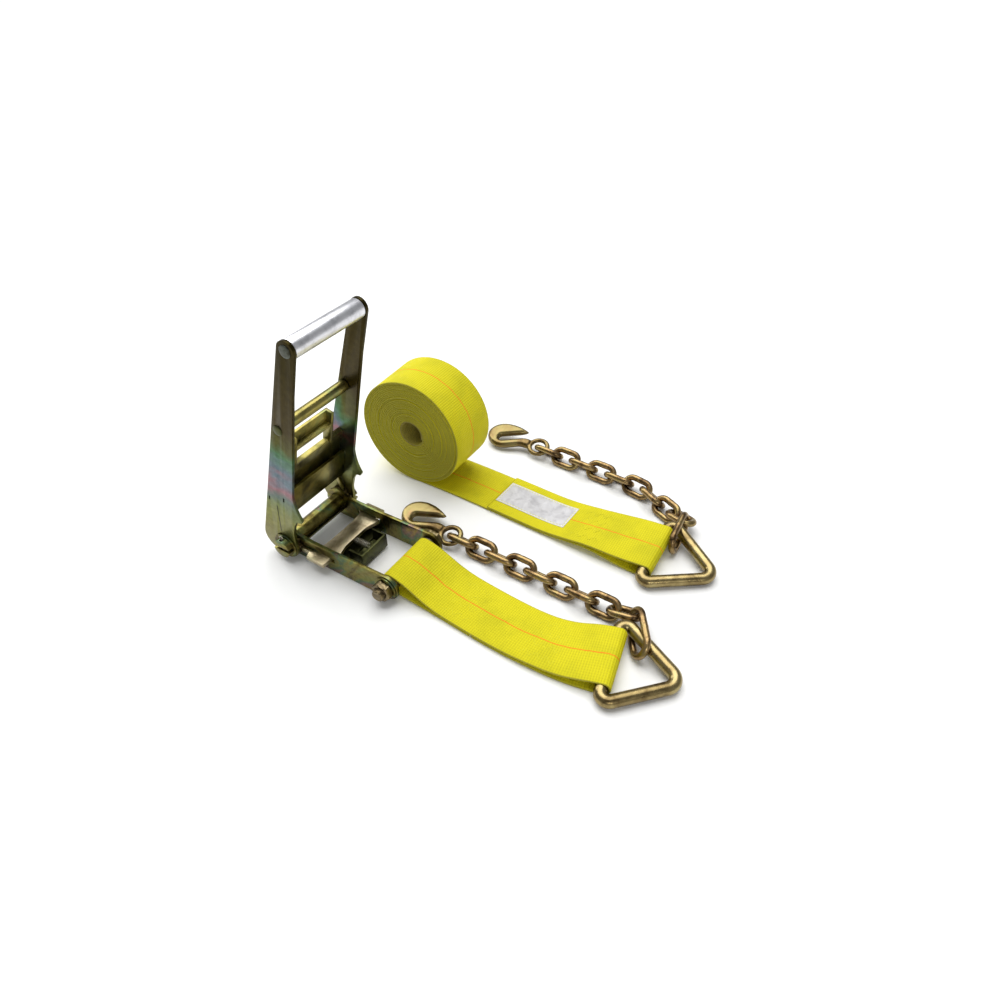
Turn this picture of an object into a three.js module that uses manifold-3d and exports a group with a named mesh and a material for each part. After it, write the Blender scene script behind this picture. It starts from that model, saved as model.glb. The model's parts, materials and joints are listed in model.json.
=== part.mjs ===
// Ratchet tie down: a wide-handle ratchet buckle with a short strap, a rolled long strap,
// and on each strap a delta ring, a ten-link chain and an eye grab hook.
// Millimetres, +Z up. Lengths run along +X (ratchet to rings), widths along Y, the floor is Z = 0.
import * as THREE from "three";
import { mergeVertices } from "three/addons/utils/BufferGeometryUtils.js";
import Module from "manifold-3d";

const wasm = await Module();
wasm.setup();

// ---------- driving dimensions ----------
const ORIGIN = { x: 231.27, y: 128.46, z: 0.28 };  // middle of the laid-out object, from the spool
const GAP = 0.35;                             // clearance left between touching pieces
const RAD = Math.PI / 180;
const UP = new THREE.Vector3(0, 0, 1);

const WEB = { width: 76.2, thick: 2.4 };      // 3 in webbing
const SPOOL = { z: 21, radius: 13, slot: 5, end: 66 };
const COTTER = { radius: 1.9, length: 33, eye: 3.2, y: 62.4 };
const WHEEL = { tip: 19.3, root: 15.6, teeth: 12, y0: 47.1, y1: 52.2 };
const FRAME = { y0: 42, y1: 46.5, lobe: 20, boltX: 150.5, boltZ: 18.5, boltLobe: 17.5, top: 35, foot: 0.6 };
const PAWL = { z0: 16, z1: 22, earX0: 36, earX1: 64, earY: 60, travel: 5, x0: 42, x1: 68 };
const HANDLE = {
  tilt: 76.7, y0: 52.8, y1: 56.8,
  length: 305.7, topRadius: 11.7, gripRadius: 11.4,
  tubeU: 191.5, tubeW: 11.4, tubeRadius: 7.2,
  slits: [[70, 26.7], [82, 4]], slitLength: 7, slitWidth: 2,
};
const BOLT = { radius: 8, sleeve: 11, flats: 24 };
const CHAIN = { wire: 8.6, pitch: 28.8, innerWidth: 12.8, slack: 0.9 };
const END_LINK = { inner: 51.5, innerWidth: 17.5 };
const FRONT_CHAIN = {
  start: [165.3, 74.6, 11.9],
  headings: [-0.8, -0.8, -0.8, -0.8, -0.8, -0.8, -0.8, -0.8],
  tie: { start: [394.8, 72, 12], yaw: 3.6, rise: 9.8, roll: -25.5 },
  end: { middle: [434.2, 51.2, 17.2], along: [-0.552, 0.833, 0.037], across: [0.407, 0.231, 0.884] },
};
const REAR_CHAIN = {
  start: [166.1, 299.1, 11.9],
  headings: [-1.5, -1.5, -1.5, -1.5, -2.5, -8, -28, -25],
  tie: { start: [388.4, 268.1, 12.1], yaw: -26.1, rise: 11.8, roll: -18.9 },
  end: { middle: [410.7, 230.3, 18], along: [-0.084, 0.996, 0.019], across: [-0.164, -0.033, 0.986] },
};
const FRONT_HOOK = { eye: [160, 75.1, 11.5], along: [0.93, 0.355, 0.1], side: [-0.37, 0.925, 0.2] };
const REAR_HOOK = { eye: [161.6, 300.6, 12.2], along: [0.84, 0.53, 0.11], side: [-0.54, 0.83, 0.2] };
const HOOK = { thick: 12, eyeX: 53, eyeY: -24, eyeRadius: 13.3, eyeWire: 7.6 };
const RING = {
  wire: 15.5, halfBase: 58, height: 82.5, corner: 9, apex: 13,
  z: 14.6, dip: -0.084, lean: 0.1,
};
const FRONT_RING = { x: 423.5, y: 2.2, yaw: 11.8 };
const REAR_RING = { x: 396.5, y: 186.7, yaw: 1.4 };
const ROLL = { radius: 80.3, core: 16, x: 42, y: 191, z: 80.8, yaw: 2.4 };
const LABEL = { length: 107, x: 169, y0: -20, y1: 24, thick: 0.8 };

// Straps in side view: top and bottom surfaces as [x, z], before the loop round the ring.
const LOOP_RUN = 20;                          // straight length of strap into a ring
const LEAN_RUN = 90;                          // length over which a strap takes up its ring's lean
const SHORT_STRAP = {
  upper: [[176, 25], [196, 14], [222, 8], [270, 7], [330, 8.5], [380, 14], [402, 22.3]],
  lower: [[180, 2.2], [215, 1.2], [270, 0.8], [330, 1.4], [380, 3.3], [402, 4.3]],
};
const LONG_STRAP = {
  upper: [
    [68, 2.9], [120, 3], [160, 3.4], [167, 6.3], [190, 6.6],
    [248, 7], [280, 10.5], [315, 16.5], [345, 19.5], [374, 22],
  ],
  lower: [
    [68, 0.5], [120, 0.5], [190, 0.9], [248, 1.4], [280, 4.8],
    [315, 9.5], [345, 8], [374, 4.3],
  ],
};

// ---------- materials ----------
const steel = (colour) => new THREE.MeshStandardMaterial({ color: colour, metalness: 0.9, roughness: 0.35 });
const cloth = (colour) => new THREE.MeshStandardMaterial({ color: colour, metalness: 0, roughness: 0.8 });
const COLOUR = {
  plate: 0x7d7a45, pawl: 0x8a6f45, chain: 0x9a8350, grip: 0xc9c9cc, dark: 0x4f4a30, pale: 0xc8bc80,
  webbing: 0xd8d81f, label: 0xe6e6e6,
};

// ---------- groups, one for each thing that moves as a whole ----------
const object = new THREE.Group();
object.position.set(-ORIGIN.x, -ORIGIN.y, -ORIGIN.z);
const handle = new THREE.Group();             // local +X runs up the handle, local +Z to its rear edge
handle.position.z = SPOOL.z;
handle.rotation.y = -HANDLE.tilt * RAD;
object.add(handle);

function add(name, geometry, material, parent = object) {
  const mesh = new THREE.Mesh(geometry, material);
  mesh.name = name;
  parent.add(mesh);
  return mesh;
}

// ---------- solids ----------
function closed(geometry) {
  const bare = geometry.clone();
  bare.deleteAttribute("normal");
  bare.deleteAttribute("uv");
  return mergeVertices(bare, 1e-4);
}

function toSolid(geometry) {
  const bare = closed(geometry);
  const triVerts = new Uint32Array(bare.index.array);
  const vertProperties = new Float32Array(bare.attributes.position.array);
  return new wasm.Manifold(new wasm.Mesh({ numProp: 3, vertProperties, triVerts }));
}

function toGeometry(solid) {
  const mesh = solid.getMesh();
  const geometry = new THREE.BufferGeometry();
  geometry.setAttribute("position", new THREE.BufferAttribute(mesh.vertProperties, 3));
  geometry.setIndex(new THREE.BufferAttribute(mesh.triVerts, 1));
  return geometry;
}

function joined(parts, cuts = []) {
  let solid = parts.map(toSolid).reduce((a, b) => a.add(b));
  for (const cut of cuts) solid = solid.subtract(toSolid(cut));
  return toGeometry(solid);
}

// A plate standing across Y: the outline's (x, y) become (x, z), and it fills y0 to y1.
function plate(outline, y0, y1, curveSegments = 10) {
  const flat = new THREE.ExtrudeGeometry(outline, { depth: y1 - y0, bevelEnabled: false, curveSegments });
  return flat.rotateX(Math.PI / 2).translate(0, y1, 0);
}

function box(x0, x1, y0, y1, z0, z1) {
  const size = [x1 - x0, y1 - y0, z1 - z0];
  return new THREE.BoxGeometry(...size).translate((x0 + x1) / 2, (y0 + y1) / 2, (z0 + z1) / 2);
}

function rod(radius, y0, y1, x, z, sides = 24) {
  return new THREE.CylinderGeometry(radius, radius, y1 - y0, sides).translate(x, (y0 + y1) / 2, z);
}

function tube(inner, outer, y0, y1, x, z, sides = 24) {
  const profile = [[inner, y0], [outer, y0], [outer, y1], [inner, y1], [inner, y0]];
  return new THREE.LatheGeometry(profile.map((p) => new THREE.Vector2(...p)), sides).translate(x, 0, z);
}

// A round wire bent into a closed flat loop, from the loop's centreline points.
function wireLoop(points, normal, radius, sides = 8) {
  const position = [];
  const index = [];
  const count = points.length;
  for (let i = 0; i < count; i++) {
    const before = points[(i + count - 1) % count];
    const after = points[(i + 1) % count];
    const along = new THREE.Vector3().subVectors(after, before).normalize();
    const out = new THREE.Vector3().crossVectors(along, normal);
    const miter = new THREE.Vector3().subVectors(points[i], before).normalize().dot(along);
    for (let k = 0; k < sides; k++) {
      const turn = (2 * Math.PI * (k + 0.5)) / sides;
      const point = points[i].clone()
        .addScaledVector(out, (radius * Math.cos(turn)) / miter)
        .addScaledVector(normal, radius * Math.sin(turn));
      position.push(point.x, point.y, point.z);
      const a = i * sides + k;
      const b = i * sides + ((k + 1) % sides);
      const c = ((i + 1) % count) * sides + k;
      const d = ((i + 1) % count) * sides + ((k + 1) % sides);
      index.push(a, c, b, b, c, d);
    }
  }
  const geometry = new THREE.BufferGeometry();
  geometry.setAttribute("position", new THREE.Float32BufferAttribute(position, 3));
  geometry.setIndex(index);
  return geometry;
}

// ---------- ratchet frame ----------
function frameOutline() {
  const { lobe, boltX, boltZ, boltLobe, top, foot } = FRAME;
  const outline = new THREE.Shape();
  outline.moveTo(6, foot);
  outline.lineTo(boltX - 4, foot);
  outline.absarc(boltX, boltZ, boltLobe, -1.8, 1.75, false);
  outline.lineTo(70, top - 1);
  outline.lineTo(34, top - 1);
  outline.absarc(0, SPOOL.z, lobe, 0.9, Math.PI * 1.56, false);
  const spoolHole = new THREE.Path().absarc(0, SPOOL.z, SPOOL.radius + GAP, 0, 2 * Math.PI, true);
  const boltHole = new THREE.Path().absarc(boltX, boltZ, BOLT.radius + GAP, 0, 2 * Math.PI, true);
  const pawlSlot = new THREE.Path();
  pawlSlot.moveTo(PAWL.earX0 - 3, PAWL.z0 - GAP);
  pawlSlot.lineTo(PAWL.earX0 - 3, PAWL.z1 + GAP);
  pawlSlot.lineTo(PAWL.earX1 + PAWL.travel + 1, PAWL.z1 + GAP);
  pawlSlot.lineTo(PAWL.earX1 + PAWL.travel + 1, PAWL.z0 - GAP);
  pawlSlot.closePath();
  outline.holes.push(spoolHole, boltHole, pawlSlot);
  return outline;
}

function buildFrame() {
  add("frame_side_plate_near", plate(frameOutline(), -FRAME.y1, -FRAME.y0), steel(COLOUR.plate));
  add("frame_side_plate_far", plate(frameOutline(), FRAME.y0, FRAME.y1), steel(COLOUR.plate));

  // Cross web under the pawl, with a pocket for the pawl spring at its ring side.
  const half = FRAME.y0 - GAP;
  const web = box(40, 74, -half, half, 5, 9);
  const foldedEdge = box(40, 43, -half, half, 2, 7);
  const floorOfPocket = box(72, 96, -24, 24, 3, 6);
  const step = box(71, 75, -24, 24, 3, 9);
  const cheeks = [-24, 21].map((y) => box(74, 96, y, y + 3, 3, 23));
  const endWall = box(93, 96, -24, 24, 3, 23);
  const crossWeb = joined([web, foldedEdge, step, floorOfPocket, ...cheeks, endWall]);
  add("frame_cross_web", crossWeb, steel(COLOUR.dark));

  // End bolt, through both plates, with the sleeve that carries the strap's loop.
  const { boltX: x, boltZ: z } = FRAME;
  const hexRadius = BOLT.flats / Math.sqrt(3);
  const head = rod(hexRadius, FRAME.y1 + GAP, FRAME.y1 + 8.5, x, z, 6);
  add("end_bolt", joined([rod(BOLT.radius, -64, FRAME.y1 + 4, x, z, 20), head]), steel(COLOUR.chain));
  const nut = rod(hexRadius, -58, -FRAME.y1 - 2.6, x, z, 6);
  add("end_bolt_nut", joined([nut], [rod(BOLT.radius + GAP, -60, -40, x, z, 20)]), steel(COLOUR.chain));
  const washer = tube(BOLT.radius + GAP, 15.5, -FRAME.y1 - 2.3, -FRAME.y1 - GAP, x, z);
  add("end_bolt_washer", washer, steel(COLOUR.plate));
  add("end_bolt_sleeve", tube(BOLT.radius + GAP, BOLT.sleeve, -half, half, x, z), steel(COLOUR.plate));
}

function buildFramePawl() {
  // The pawl plate, narrower in the middle, with an ear out through each side plate's slot.
  // Each ear ends in a nose just clear of the ratchet teeth.
  const outline = new THREE.Shape();
  const right = [
    [PAWL.x0, -20], [PAWL.x0 - 2, -40], [PAWL.earX0, -41], [PAWL.earX0, -47], [24, -47.5], [19.8, -48],
    [19.8, -51.6], [24, -52], [34, -53], [PAWL.earX0, -PAWL.earY], [PAWL.earX1, -PAWL.earY],
    [PAWL.earX1, -41], [PAWL.x1 + 3, -40], [PAWL.x1 - 3, -20],
  ];
  const left = right.map(([x, y]) => [x, -y]).reverse();
  [...right, ...left].forEach(([x, y], i) => (i ? outline.lineTo(x, y) : outline.moveTo(x, y)));
  const body = new THREE.ExtrudeGeometry(outline, { depth: PAWL.z1 - PAWL.z0, bevelEnabled: false });
  add("frame_pawl", closed(body.translate(0, 0, PAWL.z0)), steel(COLOUR.pawl));
  const coil = new THREE.CylinderGeometry(4.6, 4.6, 22, 12).rotateZ(Math.PI / 2);
  add("frame_pawl_spring", coil.translate(76.4, 0, 17), steel(COLOUR.dark));
}

// ---------- spool, ratchet wheels and pins ----------
function wheelOutline() {
  const outline = new THREE.Shape();
  const step = (2 * Math.PI) / WHEEL.teeth;
  for (let i = 0; i < WHEEL.teeth; i++) {
    const a = i * step + 0.06;
    const tooth = [[WHEEL.tip, a], [WHEEL.tip, a + 0.07], [WHEEL.root, a + 0.13], [WHEEL.root, a + 0.3]];
    for (const [r, angle] of tooth) {
      const point = [r * Math.cos(angle), SPOOL.z + r * Math.sin(angle)];
      if (i === 0 && angle === a) outline.moveTo(...point);
      else outline.lineTo(...point);
    }
  }
  return outline;
}

function buildSpool() {
  // Two half-round shafts; the strap would pass through the slot between them.
  for (const [name, side] of [["spool_half_upper", 1], ["spool_half_lower", -1]]) {
    const edge = (SPOOL.slot / 2) * side;
    const reach = Math.asin(SPOOL.slot / 2 / SPOOL.radius);
    const outline = new THREE.Shape();
    const start = side > 0 ? reach : Math.PI + reach;
    outline.moveTo(SPOOL.radius * Math.cos(reach) * side, edge);
    outline.absarc(0, 0, SPOOL.radius, start, start + Math.PI - 2 * reach, false);
    outline.closePath();
    const shaft = plate(outline, -SPOOL.end, SPOOL.end, 12).translate(0, 0, SPOOL.z);
    const pinHoles = [-COTTER.y, COTTER.y].map((y) => new THREE.CylinderGeometry(2.4, 2.4, 60, 10)
      .rotateX(Math.PI / 2).translate(0, y, SPOOL.z));
    add(name, joined([shaft], pinHoles), steel(COLOUR.plate));
  }
  const bore = () => new THREE.Path().absarc(0, SPOOL.z, SPOOL.radius + GAP, 0, 2 * Math.PI, true);
  for (const [name, side] of [["near", -1], ["far", 1]]) {
    const wheel = wheelOutline();
    wheel.holes.push(bore());
    const ys = [side * WHEEL.y0, side * WHEEL.y1].sort((a, b) => a - b);
    add(`ratchet_wheel_${name}`, plate(wheel, ...ys), steel(COLOUR.chain));
    const washer = [side * (HANDLE.y1 + GAP), side * (HANDLE.y1 + 2)].sort((a, b) => a - b);
    add(`spool_washer_${name}`, tube(SPOOL.radius + GAP, 17.5, ...washer, 0, SPOOL.z), steel(COLOUR.plate));
    const leg = new THREE.CylinderGeometry(COTTER.radius, COTTER.radius, COTTER.length, 10);
    leg.rotateX(Math.PI / 2);
    const eye = new THREE.SphereGeometry(COTTER.eye, 10, 8).translate(0, 0, COTTER.length / 2 + 0.5);
    const pin = joined([leg, eye]).translate(0, side * COTTER.y, SPOOL.z);
    add(`cotter_pin_${name}`, pin, steel(COLOUR.pale));
  }
}

// ---------- handle ----------
// The outline's x runs up the handle (u) and its y to the rear edge (w).
function handleOutline() {
  const { length, topRadius, tubeU, tubeW } = HANDLE;
  const outline = new THREE.Shape();
  outline.moveTo(length, -topRadius);
  outline.absarc(length, 0, topRadius, -Math.PI / 2, Math.PI / 2, false);
  outline.lineTo(6, 36);
  outline.absarc(2, 15.5, 20.5, 1.45, Math.PI, false);
  outline.absarc(0, 0, 18.6, Math.PI, 5.2, false);
  outline.lineTo(30, -12);
  outline.lineTo(46, -13);
  outline.lineTo(57, -16.5);
  outline.lineTo(60, -23.5);
  outline.lineTo(64.5, -24.5);
  outline.quadraticCurveTo(76, -13, 96, -9.2);
  outline.lineTo(160, -9);
  outline.lineTo(250, -9.4);
  outline.closePath();
  outline.holes.push(
    new THREE.Path().absarc(0, 0, SPOOL.radius + GAP, 0, 2 * Math.PI, true),
    new THREE.Path().absarc(length, 0, 5 + GAP, 0, 2 * Math.PI, true),
    new THREE.Path().absarc(tubeU, tubeW, 4 + GAP, 0, 2 * Math.PI, true),
  );
  for (const [u, w] of HANDLE.slits) {
    const slit = new THREE.Path();
    const [long, wide] = [HANDLE.slitLength / 2, HANDLE.slitWidth / 2];
    [[-long, -wide], [-long, wide], [long, wide], [long, -wide]].forEach(([du, dw], i) => {
      if (i) slit.lineTo(u + du, w + dw);
      else slit.moveTo(u + du, w + dw);
    });
    slit.closePath();
    outline.holes.push(slit);
  }
  return outline;
}

function buildHandle() {
  const { y0, y1, length, gripRadius, tubeU, tubeW, tubeRadius } = HANDLE;
  const inner = y0 - GAP;
  add("handle_side_plate_near", plate(handleOutline(), -y1, -y0), steel(COLOUR.plate), handle);
  add("handle_side_plate_far", plate(handleOutline(), y0, y1), steel(COLOUR.plate), handle);
  add("handle_grip_tube", tube(9.4, gripRadius, -inner, inner, length, 0), steel(COLOUR.grip), handle);
  add("handle_grip_bolt", rivet(5, length, 0), steel(COLOUR.plate), handle);
  const crossTube = tube(5.2, tubeRadius, -inner, inner, tubeU, tubeW, 20);
  add("handle_cross_tube", crossTube, steel(COLOUR.pawl), handle);
  add("handle_cross_rivet", rivet(4, tubeU, tubeW), steel(COLOUR.plate), handle);
  add("handle_guide_plate", box(44, 88, -inner, inner, 3.5, 7.5), steel(COLOUR.pawl), handle);

  function rivet(radius, x, z) {
    const shank = rod(radius, -y1 - 1, y1 + 1, x, z, 16);
    const heads = [-1, 1].map((side) => {
      const ys = [side * (y1 + GAP), side * (y1 + 1.9)].sort((a, b) => a - b);
      return rod(radius + 2.5, ...ys, x, z, 16);
    });
    return joined([shank, ...heads]);
  }
}

function buildHandlePawl() {
  // Sliding plate behind the guide plate, a tongue to each ratchet wheel, and the finger pull above it.
  const inner = HANDLE.y0 - 0.5;
  const slide = box(46, 120, -inner, inner, 12, 16);
  const tongues = [-1, 1].map((side) => {
    const tongue = new THREE.Shape();
    [[19.8, -2], [19.8, 2.5], [40, 16], [60, 16], [60, 12], [44, 11]].forEach(([u, w], i) => {
      if (i) tongue.lineTo(u, w);
      else tongue.moveTo(u, w);
    });
    const ys = [side * 47.6, side * 51.8].sort((a, b) => a - b);
    return plate(tongue, ...ys);
  });
  const [left, right] = [-36, 30];
  const legs = [left, right - 4].map((y) => box(118, 166, y, y + 4, 6, 18));
  const pull = box(146, 166, left, right, 14.5, 18);
  const lip = box(146, 149.5, left, right, 6, 18);
  const brow = box(108, 120, -inner, inner, 9, 16);
  add("handle_pawl", joined([slide, ...tongues, brow, ...legs, pull, lip]), steel(COLOUR.pawl), handle);
  const coil = new THREE.CylinderGeometry(4, 4, 58, 12).rotateZ(Math.PI / 2);
  add("handle_pawl_spring", coil.translate(149.5, -46, 13.5), steel(COLOUR.dark), handle);
}

// ---------- delta rings ----------
// Ring centreline in its own plane: base bar on Y at x = 0, apex towards +X, each corner rounded.
function ringPoints() {
  const { halfBase, height, corner, apex } = RING;
  const corners = [[0, -halfBase, corner], [height, 0, apex], [0, halfBase, corner]];
  const points = [];
  corners.forEach(([x, y, radius], i) => {
    const here = new THREE.Vector2(x, y);
    const before = new THREE.Vector2(...corners[(i + 2) % 3]).sub(here).normalize();
    const after = new THREE.Vector2(...corners[(i + 1) % 3]).sub(here).normalize();
    const halfAngle = before.angleTo(after) / 2;
    const inward = before.clone().add(after).normalize();
    const centre = inward.multiplyScalar(radius / Math.sin(halfAngle)).add(here);
    const start = before.clone().multiplyScalar(radius / Math.tan(halfAngle)).add(here).sub(centre);
    const sweep = Math.PI - 2 * halfAngle;
    for (let k = 0; k <= 6; k++) {
      const point = start.clone().rotateAround(new THREE.Vector2(), (sweep * k) / 6).add(centre);
      points.push(new THREE.Vector3(point.x, point.y, 0));
    }
  });
  return points;
}

// The ring's own frame: at its base bar's middle, turned by yaw, dipping to the apex, and lifted at its far
// side by the end link that passes under it there.
function ringFrame(ring) {
  const yAxis = new THREE.Vector3(0, 1, RING.lean).normalize();
  const xAxis = new THREE.Vector3(1, 0, RING.dip);
  xAxis.addScaledVector(yAxis, -xAxis.dot(yAxis)).normalize();
  const zAxis = new THREE.Vector3().crossVectors(xAxis, yAxis);
  const turn = new THREE.Matrix4().makeRotationZ(ring.yaw * RAD);
  const matrix = new THREE.Matrix4().makeBasis(xAxis, yAxis, zAxis).premultiply(turn);
  return matrix.setPosition(ring.x, ring.y, RING.z);
}

function buildRing(name, ring) {
  const loop = wireLoop(ringPoints(), new THREE.Vector3(0, 0, 1), RING.wire / 2, 12);
  add(name, loop.applyMatrix4(ringFrame(ring)), steel(COLOUR.chain));
}

// ---------- chain ----------
function linkPoints(inner, innerWidth) {
  const radius = (innerWidth + CHAIN.wire) / 2;
  const reach = (inner + CHAIN.wire) / 2 - radius;
  const points = [];
  for (const side of [1, -1]) {
    for (let k = 0; k <= 7; k++) {
      const turn = (-0.5 + k / 7) * Math.PI;
      const [x, y] = [reach + radius * Math.cos(turn), radius * Math.sin(turn)];
      points.push(new THREE.Vector3(side * x, side * y, 0));
    }
  }
  return points;
}

// A link with its middle at centre, its length along direction, its flat turned by roll about that.
function addLink(name, centre, direction, roll) {
  const inner = CHAIN.pitch + CHAIN.slack;
  const loop = wireLoop(linkPoints(inner, CHAIN.innerWidth), UP, CHAIN.wire / 2, 8);
  const side = UP.clone().cross(direction).normalize();
  const up = new THREE.Vector3().crossVectors(direction, side);
  const across = side.clone().multiplyScalar(Math.cos(roll)).addScaledVector(up, Math.sin(roll));
  const normal = new THREE.Vector3().crossVectors(direction, across);
  const matrix = new THREE.Matrix4().makeBasis(direction, across, normal).setPosition(centre);
  add(name, loop.applyMatrix4(matrix), steel(COLOUR.chain));
}

// The chain from its hook end: start is the first joint and each heading turns the next link in plan.
// Then the tie link climbs to the end link, which stands on edge round the ring's far side.
function buildChain(prefix, chain) {
  const name = (k) => `${prefix}_link_${String(k).padStart(2, "0")}`;
  const heading = (yaw, rise) => new THREE.Vector3(1, 0, 0)
    .applyAxisAngle(new THREE.Vector3(0, 1, 0), -rise * RAD).applyAxisAngle(UP, yaw * RAD);
  const joint = new THREE.Vector3(...chain.start);
  let before = null;
  chain.headings.forEach((yaw, i) => {
    const direction = heading(yaw, 0);
    // a bent pair of links needs more room than a straight one
    const shorten = (CHAIN.wire + CHAIN.slack) / 2;
    if (before) joint.addScaledVector(before, shorten * (before.dot(direction) - 1));
    const middle = joint.clone().addScaledVector(direction, CHAIN.pitch / 2);
    addLink(name(10 - i), middle, direction, (i % 2 ? 45 : -45) * RAD);
    joint.addScaledVector(direction, CHAIN.pitch);
    before = direction;
  });
  const { tie, end } = chain;
  const climb = heading(tie.yaw, tie.rise);
  const middle = new THREE.Vector3(...tie.start).addScaledVector(climb, CHAIN.pitch / 2);
  addLink(name(2), middle, climb, tie.roll * RAD);
  const along = new THREE.Vector3(...end.along).normalize();
  const across = new THREE.Vector3(...end.across);
  across.addScaledVector(along, -across.dot(along)).normalize();
  const normal = new THREE.Vector3().crossVectors(along, across);
  const matrix = new THREE.Matrix4().makeBasis(along, across, normal);
  const loop = wireLoop(linkPoints(END_LINK.inner, END_LINK.innerWidth), UP, CHAIN.wire / 2, 8);
  add(name(1), loop.applyMatrix4(matrix.setPosition(...end.middle)), steel(COLOUR.chain));
}

// ---------- grab hooks ----------
// Outline in the hook's plane: the slot runs along +x from the origin, the point is above it,
// and the eye is at the far end of the back.
function hookSolid() {
  const outline = new THREE.Shape();
  outline.moveTo(42, 5.5);
  outline.quadraticCurveTo(26, 23, 9, 27.5);
  outline.bezierCurveTo(-8, 31, -22, 22, -22, 8);
  outline.bezierCurveTo(-22, -6, -12, -18, 4, -18);
  outline.lineTo(22, -18);
  outline.quadraticCurveTo(30, -19, 37, -26);
  outline.lineTo(44, -11);
  outline.quadraticCurveTo(38, -6, 30, -5);
  outline.lineTo(0, -5);
  outline.absarc(0, 0, 5, Math.PI * 1.5, Math.PI * 0.5, true);
  outline.lineTo(36, 4);
  outline.closePath();
  const depth = HOOK.thick - 3;
  const bevel = { bevelThickness: 1.5, bevelSize: 1.2, bevelOffset: -1.2, bevelSegments: 1 };
  const body = new THREE.ExtrudeGeometry(outline, { depth, bevelEnabled: true, ...bevel, curveSegments: 6 });
  body.translate(0, 0, -depth / 2);
  const eye = new THREE.TorusGeometry(HOOK.eyeRadius, HOOK.eyeWire / 2, 8, 24);
  eye.translate(HOOK.eyeX, HOOK.eyeY, 0);
  return joined([body, eye]);
}

// The hook hangs by its eye, with its slot along the first axis and its point towards the second.
function buildHook(name, pose) {
  const along = new THREE.Vector3(...pose.along).normalize();
  const side = new THREE.Vector3(...pose.side);
  side.addScaledVector(along, -side.dot(along)).normalize();
  const normal = new THREE.Vector3().crossVectors(along, side);
  const matrix = new THREE.Matrix4().makeBasis(along, side, normal);
  const eye = new THREE.Vector3(HOOK.eyeX, HOOK.eyeY, 0).applyMatrix4(matrix);
  matrix.setPosition(new THREE.Vector3(...pose.eye).sub(eye));
  add(name, hookSolid().applyMatrix4(matrix), steel(COLOUR.chain));
}

// ---------- straps ----------
// A strap's centreline in plan: it leaves start.x, start.y at its slope and runs straight into the ring.
function planCurve(start, ring) {
  const { x: x0, y: y0, slope: slope0 } = start;
  const slope1 = Math.tan(ring.yaw * RAD);
  const x1 = ring.x - LOOP_RUN;
  const y1 = ring.y - LOOP_RUN * slope1;
  const span = x1 - x0;
  return (x) => {
    if (x < x0) return y0 + slope0 * (x - x0);
    if (x > x1) return y1 + slope1 * (x - x1);
    const t = (x - x0) / span;
    return (2 * t ** 3 - 3 * t ** 2 + 1) * y0 + (t ** 3 - 2 * t ** 2 + t) * span * slope0
      + (-2 * t ** 3 + 3 * t ** 2) * y1 + (t ** 3 - t ** 2) * span * slope1;
  };
}

// Bends a strap that was built straight along X so that its middle follows the curve in plan, and leans its
// end with the ring.
function bendStrap(geometry, curve, ring) {
  const position = geometry.attributes.position;
  const point = new THREE.Vector3();
  for (let i = 0; i < position.count; i++) {
    point.fromBufferAttribute(position, i);
    const turn = Math.atan(curve(point.x + 0.5) - curve(point.x - 0.5));
    const share = THREE.MathUtils.smoothstep(point.x, ring.x - LEAN_RUN, ring.x - LOOP_RUN);
    const x = point.x - point.y * Math.sin(turn);
    const y = curve(point.x) + point.y * Math.cos(turn);
    position.setXYZ(i, x, y, point.z + RING.lean * point.y * share);
  }
  return geometry;
}

// Points [x, z] along a line, so close that the strap bends smoothly.
function smoothLine(points, step = 14) {
  const out = [points[0]];
  for (let i = 1; i < points.length; i++) {
    const [x0, z0] = points[i - 1];
    const [x1, z1] = points[i];
    const count = Math.max(1, Math.round((x1 - x0) / step));
    for (let k = 1; k <= count; k++) {
      out.push([x0 + ((x1 - x0) * k) / count, z0 + ((z1 - z0) * k) / count]);
    }
  }
  return out;
}

function heightAt(points, x) {
  const i = points.findIndex((p) => p[0] >= x);
  const [[x0, z0], [x1, z1]] = [points[i - 1], points[i]];
  return z0 + ((z1 - z0) * (x - x0)) / (x1 - x0);
}

// Side view of a doubled strap: upper and lower lines from [x, z] lists, then a loop round a ring's bar.
function strapOutline(upper, lower, loopX, loopZ) {
  const outer = RING.wire / 2 + GAP + WEB.thick;
  const outline = new THREE.Shape();
  outline.moveTo(...lower[0]);
  smoothLine(lower).slice(1).forEach((p) => outline.lineTo(...p));
  outline.absarc(loopX, loopZ, outer, -Math.PI / 2, Math.PI / 2, false);
  smoothLine(upper).reverse().forEach((p) => outline.lineTo(...p));
  outline.holes.push(new THREE.Path().absarc(loopX, loopZ, RING.wire / 2 + GAP, 0, 2 * Math.PI, true));
  return outline;
}

function extrudeStrap(outline) {
  return closed(plate(outline, -WEB.width / 2, WEB.width / 2, 10));
}

function buildShortStrap() {
  const { x } = FRONT_RING;
  const outer = BOLT.sleeve + GAP + WEB.thick;
  const { boltX, boltZ } = FRAME;
  const upper = [[boltX + 6, boltZ + outer - 1], ...SHORT_STRAP.upper];
  const lower = [[boltX - 2, boltZ - outer], ...SHORT_STRAP.lower];
  const outline = strapOutline(upper, lower, x, RING.z);
  const loop = tube(BOLT.sleeve + GAP, outer, -WEB.width / 2, WEB.width / 2, boltX, boltZ, 28);
  const hole = rod(BOLT.sleeve + GAP, -50, 50, boltX, boltZ, 28);
  const straight = joined([extrudeStrap(outline), loop], [hole]);
  const curve = planCurve({ x: boltX + LOOP_RUN, y: 0, slope: 0 }, FRONT_RING);
  add("short_strap", bendStrap(straight, curve, FRONT_RING), cloth(COLOUR.webbing));
}

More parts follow.
